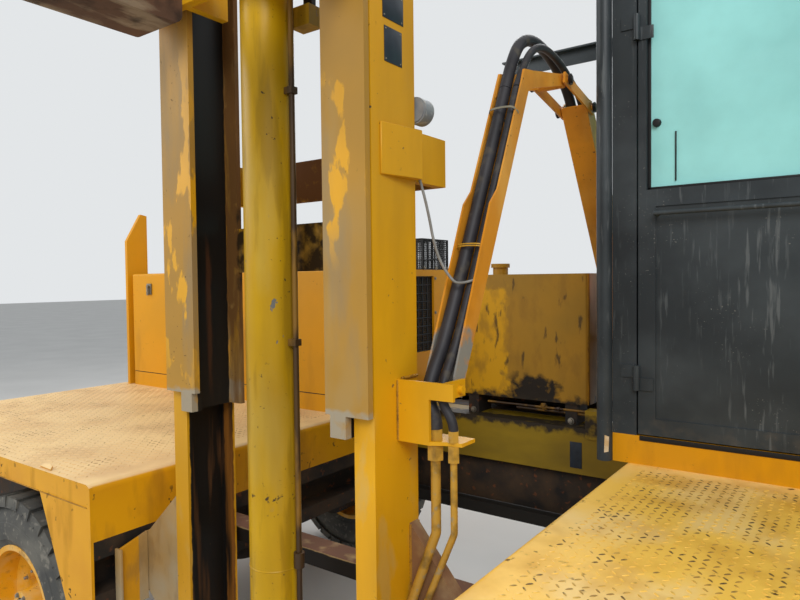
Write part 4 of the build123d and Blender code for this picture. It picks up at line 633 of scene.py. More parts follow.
    # Hot-rolled fork steel, brown with rust where the paint has gone
    fork: Finish = Finish(
        "rusted_fork_steel",
        "6a4c38",
        0.75,
        fade="4f3a2e",
        grain_mm=5.0,
        grain_relief_mm=0.25,
        coats=(
            Coat("93836c", 70, 0.57, 0.06, 0.6, strength=0.7, stretch=(1, 0.3, 1)),
            Coat("2a201a", 90, 0.58, 0.08, 0.85, strength=0.8, shift=5),
        ),
    )
    # Grease over black scale, smeared with rust
    grease: Finish = Finish(
        "greased_black_steel",
        "17120e",
        0.5,
        fade="241a12",
        grain_mm=6.0,
        grain_relief_mm=0.3,
        coats=(
            Coat("5d371d", 70, 0.6, 0.06, 0.75, strength=0.8, stretch=(1, 1, 0.3)),
            Coat("7b5420", 30, 0.68, 0.03, 0.7, strength=0.7, shift=6),
        ),
    )
    # Ground steel of rollers and pins, dull with a film of oil
    steel: Finish = Finish(
        "oiled_ground_steel",
        "8a8378",
        0.35,
        metallic=1.0,
        fade="6a6154",
        grain_mm=1.5,
        coats=(Coat("3b2f25", 40, 0.58, 0.08, 0.7, metallic=0.2, strength=0.7),),
    )
    # Zinc-plated bolts and pipe unions, dulled by weather
    zinc: Finish = Finish(
        "weathered_zinc_plate",
        "9a968c",
        0.48,
        metallic=0.8,
        fade="7d7769",
        coats=(Coat("6b5638", 18, 0.62, 0.05, 0.8, strength=0.7, metallic=0.1),),
    )
    # Hard chrome of the cylinder rod, wiped bright with an oil film
    chrome: Finish = Finish("hard_chrome", "b9b9ba", 0.12, metallic=1.0, grain_relief_mm=0.0)
    # Charcoal enamel of the cab, satin, with dust and light scratches
    cab: Finish = Finish(
        "charcoal_enamel",
        "24292c",
        0.4,
        fade="2b3134",
        coats=(
            Coat("4a5154", 320, 0.52, 0.14, 0.5, strength=0.55, shift=7),
            Coat("6a6f70", 14, 0.62, 0.05, 0.6, strength=0.5, stretch=(1, 1, 0.1), patch_mm=200,
                 patch_limit=0.53),
            Coat("8a8880", 7, 0.69, 0.02, 0.7, strength=0.6, patch_mm=220, patch_limit=0.55,
                 shift=3),
            Coat("5f574b", 60, 0.55, 0.1, 0.7, strength=0.3, facing=(0, -1, 0),
                 low=(780, 600, 1100), high=(2600, 700, 1230), blur_mm=30, shift=4),
        ),
    )
    # Black paint of axles, feet and brackets under road dirt
    chassis_black: Finish = Finish(
        "road_dirty_black_paint",
        "171513",
        0.65,
        fade="241f1b",
        coats=(
            Coat("4a3826", 120, 0.55, 0.12, 0.85, strength=0.7),
            Coat("6f3f22", 34, 0.65, 0.04, 0.85, strength=0.7, shift=8),
        ),
    )
    # Black powder coat on grilles and mesh
    mesh: Finish = Finish("black_powder_coat", "131416", 0.5, fade="1d1e1f")
    # Moulded tyre rubber, grey with dust and scuffed on its shoulders
    rubber: Finish = Finish(
        "dusty_tyre_rubber",
        "3b3b3a",
        0.8,
        fade="4a4a47",
        grain_mm=5.0,
        grain_relief_mm=0.2,
        coats=(
            Coat("6f6c63", 160, 0.5, 0.14, 0.9, strength=0.7),
            Coat("8a8478", 24, 0.62, 0.05, 0.9, strength=0.5, shift=9),
        ),
    )
    # Rubber hose cover: black with a dry grey bloom
    hose: Finish = Finish(
        "weathered_hose_rubber",
        "222124",
        0.5,
        fade="343235",
        fade_mm=120.0,
        grain_mm=2.0,
        grain_relief_mm=0.15,
        coats=(Coat("5a5346", 40, 0.62, 0.06, 0.8, strength=0.5),),
    )
    # Yellow-painted steel pipe, greasy near its unions
    pipe: Finish = Finish(
        "painted_steel_pipe",
        "bd9034",
        0.42,
        fade="a87f34",
        coats=(
            Coat("5b4722", 60, 0.58, 0.07, 0.5, strength=0.7),
            Coat("8f8770", 22, 0.64, 0.04, 0.5, strength=0.7, shift=10),
        ),
    )
    # Small pipe on the mast, dark with old grease
    dark_pipe: Finish = Finish(
        "greasy_dark_pipe",
        "33251a",
        0.45,
        fade="4c3618",
        coats=(Coat("8a6420", 90, 0.56, 0.05, 0.5, strength=0.8, stretch=(1, 1, 0.3)),),
    )
    # Tank enamel: a fresher patch at the left, brown oil stain at its foot
    tank: Finish = Finish(
        "yellow_enamel_tank",
        "a87a1c",
        0.42,
        fade="96701f",
        fade_mm=260.0,
        coats=(
            Coat("c9940c", 60, 0.35, 0.06, 0.42, low=(-240, -WIDE, 1120), high=(60, WIDE, 1700),
                 blur_mm=26),
            Coat("8a641c", 60, 0.57, 0.08, 0.5, strength=0.6, stretch=(1, 1, 0.5), shift=2),
            Coat("3a2a16", 40, 0.66, 0.03, 0.6, strength=0.8, stretch=(1, 1, 0.3), shift=11),
            Coat("1c160f", 60, 0.32, 0.08, 0.4, low=(70, -WIDE, 1100), high=(330, WIDE, 1240),
                 blur_mm=44, shift=12),
            Coat("241c12", 60, 0.4, 0.1, 0.5, low=(-300, -WIDE, 1100), high=(500, WIDE, 1150),
                 blur_mm=30, shift=13),
        ),
    )
    # Vinyl seat cover and moulded console plastic
    vinyl: Finish = Finish("black_seat_vinyl", "161617", 0.6, grain_mm=2.0, grain_relief_mm=0.25)
    # Tinted cab glass
    glass: Tinted = Tinted("tinted_safety_glass", "a9eeea", 0.06, grain_relief_mm=0.0, opacity=0.62)
    # Nylon ties and rubber seals, plain moulded black
    nylon: Finish = Finish("black_nylon", "1b1b1c", 0.5)
    # Grey die-cast lamp housing, chalky with weather
    lamp: Finish = Finish(
        "chalky_grey_lamp_housing",
        "8d9090",
        0.55,
        fade="72757a",
        fade_mm=40.0,
        coats=(Coat("b5b4ac", 20, 0.6, 0.05, 0.7, strength=0.6),),
    )
    # Woven grey ribbon knotted round the hoses
    ribbon: Finish = Finish("grey_woven_ribbon", "8f8a78", 0.7, fade="77715f", fade_mm=40.0)
    # Yellow plastic-covered binding wire
    wire: Finish = Finish("yellow_binding_wire", "cfa030", 0.5, fade="b98a2a", fade_mm=40.0)
    # Chipped pale paint left on the foot of the corner tube
    tag: Finish = Finish("chipped_pale_paint", "dcc7a4", 0.6, fade="c9a876", fade_mm=30.0)
    # Thin grey PVC sheath of the lamp's cable
    cable: Finish = Finish("grey_cable_sheath", "8d8c88", 0.5, fade="77756f", fade_mm=60.0)


FINISH = Finishes()


@dataclass
class Piece:
    """One visible piece in the making: shapes in millimetres, gathered in one bmesh."""

    name: str
    mesh: bmesh.types.BMesh = field(default_factory=bmesh.new)

    def block(self, low: Point, high: Point, edge: float = 0.0) -> None:
        """Add a straight-sided block.

        Args:
            low: Its lowest corner.
            high: Its highest corner.
            edge: The size of the bevel on its edges.
        """
        made = bmesh.ops.create_cube(self.mesh, size=1.0)["verts"]
        size = Vector(high) - Vector(low)
        middle = (Vector(high) + Vector(low)) / 2
        bmesh.ops.scale(self.mesh, vec=size, verts=made)
        bmesh.ops.translate(self.mesh, vec=middle, verts=made)
        if edge:
            self.soften(made, edge)

    def soften(self, verts: list[bmesh.types.BMVert], edge: float, segments: int = 2) -> None:
        """Bevel every edge between the given vertices.

        Args:
            verts: The vertices.
            edge: How far the bevel runs from the edge.
            segments: How many steps it has.
        """
        chosen = set(verts)
        edges = [e for e in {e for v in verts for e in v.link_edges} if set(e.verts) <= chosen]
        bmesh.ops.bevel(
            self.mesh,
            geom=edges,
            offset=edge,
            affect="EDGES",
            segments=segments,
            profile=0.5,
            material=-1,
        )

    def rod(
        self,
        start: Point,
        end: Point,
        radius: float,
        top: float | None = None,
        sides: int = 20,
        edge: float = 0.0,
    ) -> None:
        """Add a round bar, cone or many-sided prism between two points.

        Args:
            start: The middle of its first end.
            end: The middle of its other end.
            radius: Its radius at the start.
            top: Its radius at the end, where that differs.
            sides: How many flat sides stand for the round.
            edge: The bevel round its end.
        """
        line = Vector(end) - Vector(start)
        turn = Vector((0, 0, 1)).rotation_difference(line).to_matrix().to_4x4()
        place = Matrix.Translation((Vector(start) + Vector(end)) / 2) @ turn
        made = bmesh.ops.create_cone(
            self.mesh,
            cap_ends=True,
            segments=sides,
            radius1=radius,
            radius2=radius if top is None else top,
            depth=line.length,
            matrix=place,
        )["verts"]
        if edge:
            far = [v for v in made if (v.co - Vector(end)).length < (v.co - Vector(start)).length]
            self.soften(far, edge)

    def bolt(self, place: Point, facing: Point, across: float, height: float) -> None:
        """Add a hexagon bolt head on its washer.

        Args:
            place: The point on the surface under it.
            facing: The way that it stands out.
            across: Its size across the corners.
            height: How high the head stands above its washer.
        """
        thick, washer_radius, chamfer = 0.18 * across, 0.68 * across, 0.05 * across
        start = Vector(place)
        out = Vector(facing).normalized()
        washer = start + out * thick
        self.rod(start, washer, washer_radius, sides=18)
        self.rod(washer, washer + out * height, across / 2, sides=6, edge=chamfer)

    def turned(
        self,
        middle: Point,
        facing: Point,
        profile: tuple[tuple[float, float], ...],
        sides: int = 48,
    ) -> list[bmesh.types.BMVert]:
        """Spin a closed profile all the way round an axis.

        Args:
            middle: The point on the axis where the profile's heights start.
            facing: The axis.
            profile: Radius and height of each corner, in order round the profile.
            sides: How many steps it has round.

        Returns:
            Its vertices.
        """
        turn = Vector((0, 0, 1)).rotation_difference(Vector(facing)).to_matrix().to_4x4()
        place = Matrix.Translation(middle) @ turn
        corners = [self.mesh.verts.new(place @ Vector((r, 0, h))) for r, h in profile]
        edges = [
            self.mesh.edges.new((one, two)) for one, two in zip(corners, corners[1:] + corners[:1])
        ]
        bmesh.ops.spin(
            self.mesh,
            geom=corners + edges,
            cent=middle,
            axis=turn.to_3x3() @ Vector((0, 0, 1)),
            angle=2 * math.pi,
            steps=sides,
            use_merge=True,
        )
        return self.island(corners[0])

    def tube(self, line: list[Vector], radius: float, sides: int = 24) -> None:
        """Add a capped round tube that follows a line.

        Args:
            line: The points of its centreline.
            radius: Its radius.
            sides: How many flat sides stand for the round.
        """
        ways = [(two - one).normalized() for one, two in zip(line, line[1:])]
        ways.append(ways[-1])
        turn = Vector((0, 0, 1)).rotation_difference(ways[0]).to_matrix().to_4x4()
        ring = bmesh.ops.create_circle(
            self.mesh,
            cap_ends=True,
            segments=sides,
            radius=radius,
            matrix=Matrix.Translation(line[0]) @ turn,
        )["verts"]
        edges = list({e for v in ring for e in v.link_edges})
        for index in range(1, len(line)):
            grown = bmesh.ops.extrude_edge_only(self.mesh, edges=edges)["geom"]
            ring = [g for g in grown if isinstance(g, bmesh.types.BMVert)]
            edges = [g for g in grown if isinstance(g, bmesh.types.BMEdge)]
            bmesh.ops.translate(self.mesh, vec=line[index] - line[index - 1], verts=ring)
            bend = ways[index - 1].rotation_difference(ways[index]).to_matrix()
            bmesh.ops.rotate(self.mesh, cent=line[index], matrix=bend, verts=ring)
        bmesh.ops.contextual_create(self.mesh, geom=edges)

    def band(
        self, middle: Point, along: Point, half: tuple[float, float], width: float, thick: float
    ) -> None:
        """Add a flat strap bent round in a rounded loop.

        Args:
            middle: The middle of the loop.
            along: The axis that the loop goes round.
            half: Half its size across x, and across the other way.
            width: How wide the strap is.
            thick: How thick it is.
        """
        up = Vector(along).normalized()
        turn = Matrix((Vector((1, 0, 0)), up.cross(Vector((1, 0, 0))), up)).transposed().to_4x4()
        place = Matrix.Translation(middle) @ turn
        loop = bmesh.ops.create_circle(self.mesh, cap_ends=False, segments=28, radius=1.0)["verts"]
        edges = list({e for v in loop for e in v.link_edges})
        squareness = 0.55
        for vert in loop:
            flat = max(abs(vert.co.x), abs(vert.co.y)) ** squareness
            vert.co = Vector((vert.co.x * half[0] / flat, vert.co.y * half[1] / flat, -width / 2))
        grown = bmesh.ops.extrude_edge_only(self.mesh, edges=edges)["geom"]
        top = [g for g in grown if isinstance(g, bmesh.types.BMVert)]
        bmesh.ops.translate(self.mesh, vec=(0, 0, width), verts=top)
        bmesh.ops.transform(self.mesh, matrix=place, verts=loop + top)
        faces = [g for g in grown if isinstance(g, bmesh.types.BMFace)]
        bmesh.ops.recalc_face_normals(self.mesh, faces=faces)
        bmesh.ops.solidify(self.mesh, geom=faces, thickness=thick)

    def weld(self, start: Point, end: Point, size: float = 5.0) -> None:
        """Add a rippled weld bead between two points.

        Args:
            start: Where it starts.
            end: Where it ends.
            size: The bead's radius.
        """
        ripple, tail = size * 2.2, size * 0.78
        line = Vector(end) - Vector(start)
        steps = max(2, round(line.length / ripple))
        points = [Vector(start) + line * i / steps for i in range(steps + 1)]
        for one, two in zip(points, points[1:]):
            self.rod(one, two, size, tail, sides=7)

    def island(self, seed: bmesh.types.BMVert) -> list[bmesh.types.BMVert]:
        """Find every vertex that is joined to one vertex.

        Args:
            seed: The vertex to start from.

        Returns:
            The vertices, in any order.
        """
        found = {seed}
        edge = [seed]
        while edge:
            vert = edge.pop()
            for link in vert.link_edges:
                other = link.other_vert(vert)
                if other not in found:
                    found.add(other)
                    edge.append(other)
        return list(found)

    def sheet(self, corners: list[Point], thickness: float, edge: float = 0.0) -> None:
        """Add a flat plate from its outline.

        Args:
            corners: The outline, in order.
            thickness: How far it is pushed out along its normal.
            edge: The bevel on its edges.
        """
        verts = [self.mesh.verts.new(c) for c in corners]
        face = self.mesh.faces.new(verts)
        face.normal_update()
        push = face.normal * thickness
        grown = bmesh.ops.extrude_face_region(self.mesh, geom=[face], use_keep_orig=True)["geom"]
        fresh = [g for g in grown if isinstance(g, bmesh.types.BMVert)]
        bmesh.ops.translate(self.mesh, vec=push, verts=fresh)
        if edge:
            self.soften(verts + fresh, edge, segments=1)

    def tidy(self) -> None:
        """Merge doubles and point every face outwards."""
        bmesh.ops.remove_doubles(self.mesh, verts=self.mesh.verts, dist=0.01)
        bmesh.ops.recalc_face_normals(self.mesh, faces=self.mesh.faces)

    def save(
        self, finish: Finish, body: str | None, slot: Slot, smooth: float = 40.0
    ) -> bpy.types.Object:
        """Turn the shapes into an object in metres that rides on a body.

        Args:
            finish: The finish that it takes.
            body: The CAD body that it moves with, or None for a piece left on no body.
            slot: The record's material slot; not used.
            smooth: The greatest angle between faces that is shaded smooth, in degrees.

        Returns:
            The object.
        """
        self.tidy()
        bmesh.ops.scale(self.mesh, vec=(MM, MM, MM), verts=self.mesh.verts)
        data = bpy.data.meshes.new(self.name)
        self.mesh.to_mesh(data)
        self.mesh.free()
        piece = bpy.data.objects.new(self.name, data)
        bpy.context.scene.collection.objects.link(piece)
        data.materials.append(finish.build())
        data.shade_smooth()
        data.set_sharp_from_angle(angle=math.radians(smooth))
        if body:
            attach(piece, body)
        LOG.info("%s: %d faces", self.name, len(data.polygons))
        return piece


@dataclass
class Studio:
    """Camera, floor and plain soft light."""

    position: Point = (1547.5, -1750.0, 1740.0)
    yaw: float = 35.793
    pitch: float = 1.811
    roll: float = -0.632
    lens: float = 29.15
    floor_half: float = 60000.0
    sensor: float = 36.0
    sky: str = "eef1f3"
    daylight: str = "dfe6ee"
    sky_strength: float = 0.9
    daylight_strength: float = 0.62
    ground: str = "d9d6d0"
    aim: Point = (0.0, 300.0, 1400.0)
    lamps: tuple[tuple[str, Point, float, float], ...] = (
        ("key", (5500.0, -6500.0, 7500.0), 5.0, 620.0),
        ("fill", (-6000.0, -4000.0, 5000.0), 5.0, 260.0),
        ("back", (-2000.0, 7500.0, 6500.0), 5.0, 320.0),
    )

    def camera(self) -> None:
        """Set up the camera as the photograph was taken."""
        yaw, pitch, roll = (math.radians(a) for a in (self.yaw, self.pitch, self.roll))
        ahead = Vector(
            (-math.sin(yaw) * math.cos(pitch), math.cos(yaw) * math.cos(pitch), -math.sin(pitch))
        )
        right = Vector((math.cos(yaw), math.sin(yaw), 0.0))
        up = right.cross(ahead)
        right_rolled = right * math.cos(roll) + up * math.sin(roll)
        up_rolled = up * math.cos(roll) - right * math.sin(roll)
        turn = Matrix((right_rolled, up_rolled, -ahead)).transposed()
        data = bpy.data.cameras.new("photo_camera")
        data.lens = self.lens
        data.sensor_width = self.sensor
        data.clip_end = 200.0
        camera = bpy.data.objects.new("photo_camera", data)
        camera.matrix_world = Matrix.Translation(Vector(self.position) * MM) @ turn.to_4x4()
        bpy.context.scene.collection.objects.link(camera)
        bpy.context.scene.camera = camera

    def floor(self) -> None:
        """Lay the plain pale floor."""
        piece = bmesh.new()
        bmesh.ops.create_grid(piece, x_segments=1, y_segments=1, size=self.floor_half * MM)
        data = bpy.data.meshes.new("floor")
        piece.to_mesh(data)
        piece.free()
        floor = bpy.data.objects.new("floor", data)
        bpy.context.scene.collection.objects.link(floor)
        # Smooth sealed concrete: pale, matt and nearly even
        concrete = Finish("sealed_concrete", self.ground, 0.8, fade="d2cfc9", fade_mm=900.0)
        data.materials.append(concrete.build())

    def light(self) -> None:
        """Light the object as an overcast sky does, with one broad key lamp."""
        world = bpy.data.worlds.new("overcast")
        bpy.context.scene.world = world
        world.use_nodes = True
        tree = world.node_tree
        tree.nodes.clear()
        rays = add_node(tree, "ShaderNodeLightPath")
        seen = rays.outputs["Is Camera Ray"]
        for name in ("Is Glossy Ray", "Is Transmission Ray"):
            seen = add_node(
                tree, "ShaderNodeMath", {0: seen, 1: rays.outputs[name]}, operation="MAXIMUM"
            ).outputs[0]
        lit, shown = (
            add_node(
                tree, "ShaderNodeBackground", {"Color": linear(colour), "Strength": strength}
            ).outputs[0]
            for colour, strength in (
                (self.daylight, self.daylight_strength),
                (self.sky, self.sky_strength),
            )
        )
        mixed = add_node(tree, "ShaderNodeMixShader", {0: seen, 1: lit, 2: shown})
        add_node(tree, "ShaderNodeOutputWorld", {"Surface": mixed.outputs[0]})
        for name, spot, size, power in self.lamps:
            data = bpy.data.lights.new(name, "AREA")
            data.size = size
            data.energy = power
            lamp = bpy.data.objects.new(name, data)
            turn = (Vector(self.aim) - Vector(spot)).to_track_quat("-Z", "Y").to_matrix().to_4x4()
            lamp.matrix_world = Matrix.Translation(Vector(spot) * MM) @ turn
            bpy.context.scene.collection.objects.link(lamp)

    def build(self) -> None:
        """Build the whole studio."""
        bpy.context.scene.view_settings.view_transform = "Standard"
        self.camera()
        self.floor()
        self.light()


@dataclass
class CableRun:
    """One hose or cable: its route's points, its thickness and what it hangs from."""

    name: str
    points: tuple[Point, ...]
    radius: float
    length: float
    node: str
    body: str
    finish: Finish
    stiffness: Stiffness = Stiffness.MEDIUM

    def spline(self, bevel: float) -> bpy.types.Object:
        """Lay the route's points on one smooth spline.

        Args:
            bevel: The radius that the curve is given, in metres.

        Returns:
            The curve's object.
        """
        data = bpy.data.curves.new(self.name, "CURVE")
        data.dimensions = "3D"
        data.resolution_u = 12
        data.bevel_depth = bevel
        data.bevel_resolution = 5
        data.use_fill_caps = True
        spline = data.splines.new("NURBS")
        spline.points.add(len(self.points) - 1)
        for point, place in zip(spline.points, self.points):
            point.co = (place[0] * MM, place[1] * MM, place[2] * MM, 1.0)
        spline.order_u = 3
        spline.use_endpoint_u = True
        run = bpy.data.objects.new(self.name, data)
        bpy.context.scene.collection.objects.link(run)
        return run

    def build(self) -> bpy.types.Object:
        """Returns:
            The curve's object.
        """
        run = self.spline(self.radius * MM)
        run.data.materials.append(self.finish.build())
        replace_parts(run, self.node)
        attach(run, self.body)
        tuple(c * MM for c in self.points[0])
        LOG.info("%s: %d route points", self.name, len(self.points))
        return run


@dataclass
class Fold:
    """Where one half of a hose bends: its two bodies and the points between which it turns."""

    name: str
    bodies: tuple[str, str]
    start: Point
    end: Point
    length: float


@dataclass
class FoldingHose:
    """A hose over the folding guide: a tube in two halves that meet over the straps."""

    route: CableRun
    cut: float
    folds: tuple[Fold, Fold]

    def line(self) -> list[Vector]:
        """Read the smooth line of the route from its spline.

        Returns:
            Its points, in millimetres.
        """
        run = self.route.spline(0.0)
        traced = bpy.data.meshes.new_from_object(run)
        line = [v.co / MM for v in traced.vertices]
        bpy.data.meshes.remove(traced)
        bpy.data.curves.remove(run.data)
        return line

    def build(self) -> None:
        """Build both halves, which meet over the straps."""
        line = self.line()
        near = next(i for i, p in enumerate(line) if p.y > self.cut)
        for fold, part in zip(self.folds, (line[: near + 1], line[near:])):
            piece = Piece(fold.name)
            piece.tube(part, self.route.radius)
            half = piece.save(self.route.finish, None, Slot.HOSE_RUBBER)
            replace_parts(half, self.route.node)
            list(fold.bodies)
            tuple(c * MM for c in fold.start)
            tuple(c * MM for c in fold.end)
            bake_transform(half)
            [tuple(p * MM) for p in part]


@dataclass
class Hose:
    """One of the two hydraulic hoses, from its steel pipe over the guide to the chassis arm."""

    name: str
    x: float
    pipe_x: float
    radius: float
    low: float
    lengths: tuple[float, float, float]
    arm_length: float = 915.8
    cut: float = 620.0

    def build(self) -> None:
        """Build its run up the mast arm, its folding loop and its run down the chassis arm."""
        x, finish = self.x, FINISH.hose
        up_mast = (
            (self.pipe_x, -286, 1337),
            (self.pipe_x, -286, 1361),
            (x, -286, 1417),
            (x, -260, 1477),
            (x, -164, 1606),
            (x, 194, 2356),
        )
        over = (
            (x, 195, 2358),
            (x, 260, 2498 - self.low),
            (x, 348, 2566 - self.low),
            (x, 440, 2582 - self.low),
            (x, 560, 2566 - self.low),
            (x, 690, 2515 - self.low),
            (x, 771.2, 2446.8),
            (x, 826.0, 2364.4),
        )
        down = ((x, 826.5, 2363.6), (x, 1079.9, 1982.2), (x, 1333.2, 1600.8))
        first, second, third = self.lengths
        name, radius = self.name, self.radius
        CableRun(f"{name}_mast", up_mast, radius, first, "mast_hoses", "trolley", finish).build()
        CableRun(
            f"{name}_arm", down, radius, self.arm_length, "arm_hoses", "chassis_arm", finish
        ).build()
        loop = CableRun(f"{name}_loop", over, radius, second + third, "hose_loop", "straps", finish)
        near = Fold(
            f"{name}_loop_near", ("trolley", "straps"), (x, 420, 2500), (x, self.cut, 2500), second
        )
        far = Fold(
            f"{name}_loop_far", ("straps", "chassis_arm"), (x, 700, 2500), (x, 826, 2366), third
        )
        FoldingHose(loop, self.cut, (near, far)).build()


@dataclass
class Hoses:
    """Everything flexible on the truck: two hydraulic hoses and the lamp's thin cable."""

    sizes: tuple[Hose, ...] = (
        Hose("hose_wide", 579.0, 605.0, 20.0, 0.0, (1138.8, 536.9, 279.1)),
        Hose("hose_slim", 621.0, 662.0, 13.0, 34.0, (1144.3, 508.4, 259.6)),
    )
    cable: tuple[Point, ...] = (
        (506, -205, 2030),
        (526, -198, 1958),
        (546, -184, 1813),
        (587, -164, 1733),
        (611, -150, 1726),
        (635, -124, 1736),
    )
    cable_radius: float = 4.0
    cable_length: float = 374.5

    def build(self) -> None:
        """Lay the hoses and the cable."""
        for hose in self.sizes:
            hose.build()
        CableRun(
            "lamp_cable",
            self.cable,
            self.cable_radius,
            self.cable_length,
            "hanging_cable",
            "trolley",
            FINISH.cable,
            Stiffness.LIMP,
        ).build()


@dataclass
class FramePaint:
    """The finishes that the CAD's own nodes take."""

    coats: tuple[tuple[Finish, tuple[str, ...]], ...] = (
        (FINISH.beam, ("chassis_frame", "arm_stand")),
        (FINISH.chassis_black, ("reach_tracks", "engine", "tank_feet", "steps")),
        (FINISH.chassis_black, ("rear_axle", "front_axle", "knuckle_near", "knuckle_far")),
        (FINISH.deck_rear, ("deck_rear",)),
        (FINISH.deck_front, ("deck_front",)),
        (FINISH.plate, ("engine_cover", "load_post", "cab_plinth")),
        (FINISH.zinc, ("cover_latch",)),
        (FINISH.mesh, ("radiator_grille", "top_guard")),
        (FINISH.tank, ("tank",)),
        (FINISH.cab, ("cab_shell", "cab_roof", "corner_tube", "cab_beam")),
        (FINISH.cab, ("door", "door_fittings")),
        (FINISH.glass, ("cab_glass", "door_glass")),
        (FINISH.vinyl, ("steering_column",)),
        (FINISH.rubbed, ("trolley",)),
        (FINISH.steel, ("trolley_rollers", "chain_sheaves")),
        (FINISH.mast, ("outer_mast", "fork_carriage", "hose_bracket")),
        (FINISH.inner_mast, ("inner_mast",)),
        (FINISH.barrel, ("lift_barrel",)),
        (FINISH.dark_pipe, ("lift_pipe",)),
        (FINISH.chrome, ("lift_rod",)),
        (FINISH.grease, ("chain_rear", "chain_front")),
        (FINISH.fork, ("forks",)),
        (FINISH.arms, ("mast_arm", "straps", "chassis_arm")),
        (FINISH.pipe, ("steel_pipes",)),
        (FINISH.lamp, ("work_lamp",)),
        (FINISH.rim, ("rim_rear_near", "rim_rear_far", "rim_front_near", "rim_front_far")),
    )

    def dress(self, nodes: dict[str, bpy.types.Object]) -> None:
        """Put each node's finish in its material slots.

        Args:
            nodes: The CAD's nodes by name.
        """
        for finish, names in self.coats:
            for name in names:
                materials = nodes[name].data.materials
                for index in range(len(materials)):
                    materials[index] = finish.build()
                LOG.info("%s: %s", name, finish.name)


@dataclass
class ChequerPlate:
    """Raised bars in alternate diagonal rows over one rectangle of deck."""

    name: str
    x: tuple[float, float]
    y: tuple[float, float]
    finish: Finish
    deck: float = DECK_TOP
    pitch: float = 27.0
    bar: Point = (21.0, 5.6, 1.7)
    bar_top: float = 0.62

    def build(self) -> bpy.types.Object:
        """Build one pair of crossed bars and repeat it over the rectangle.

        Returns:
            The bars' object.
        """
        piece = Piece(self.name)
        start = (self.x[0] + self.pitch / 2, self.y[0] + self.pitch / 2)
        count = [int((hi - lo) / (2 * self.pitch)) for lo, hi in (self.x, self.y)]
        for column in range(2):
            for row in range(2):
                turn = math.radians(45 if (column + row) % 2 else -45)
                place = Vector((start[0] + column * self.pitch, start[1] + row * self.pitch, self.deck))
                self.bar_at(piece, place, turn)
        bars = piece.save(self.finish, "chassis", Slot.DECK_PAINT, smooth=25)
        for axis, number in ((0, count[0]), (1, count[1])):
            repeat = bars.modifiers.new(f"rows_{axis}", "ARRAY")
            repeat.use_relative_offset = False
            repeat.use_constant_offset = True
            offset = [0.0, 0.0, 0.0]
            offset[axis] = 2 * self.pitch * MM
            repeat.constant_offset_displace = offset
            repeat.count = number
        return bars

    def bar_at(self, piece: Piece, place: Vector, turn: float) -> None:
        """Add one lens-shaped bar.

        Args:
            piece: The bars in the making.
            place: The middle of its foot.
            turn: How far it is turned from the x axis.
        """
        made = bmesh.ops.create_circle(
            piece.mesh, cap_ends=True, segments=6, radius=1.0, matrix=Matrix.Identity(4)
        )["verts"]
        face = made[0].link_faces[0]
        grown = bmesh.ops.extrude_face_region(piece.mesh, geom=[face])["geom"]
        top = [g for g in grown if isinstance(g, bmesh.types.BMVert)]
        base = [v for v in made if v not in top]
        for verts, shrink, height in ((base, 1.0, 0.0), (top, self.bar_top, self.bar[2])):
            bmesh.ops.scale(
                piece.mesh,
                vec=(self.bar[0] / 2 * shrink, self.bar[1] / 2 * shrink, 1),
                verts=verts,
            )
            bmesh.ops.translate(piece.mesh, vec=(0, 0, height), verts=verts)
        placed = Matrix.Translation(place) @ Matrix.Rotation(turn, 4, "Z")
        bmesh.ops.transform(piece.mesh, matrix=placed, verts=base + top)


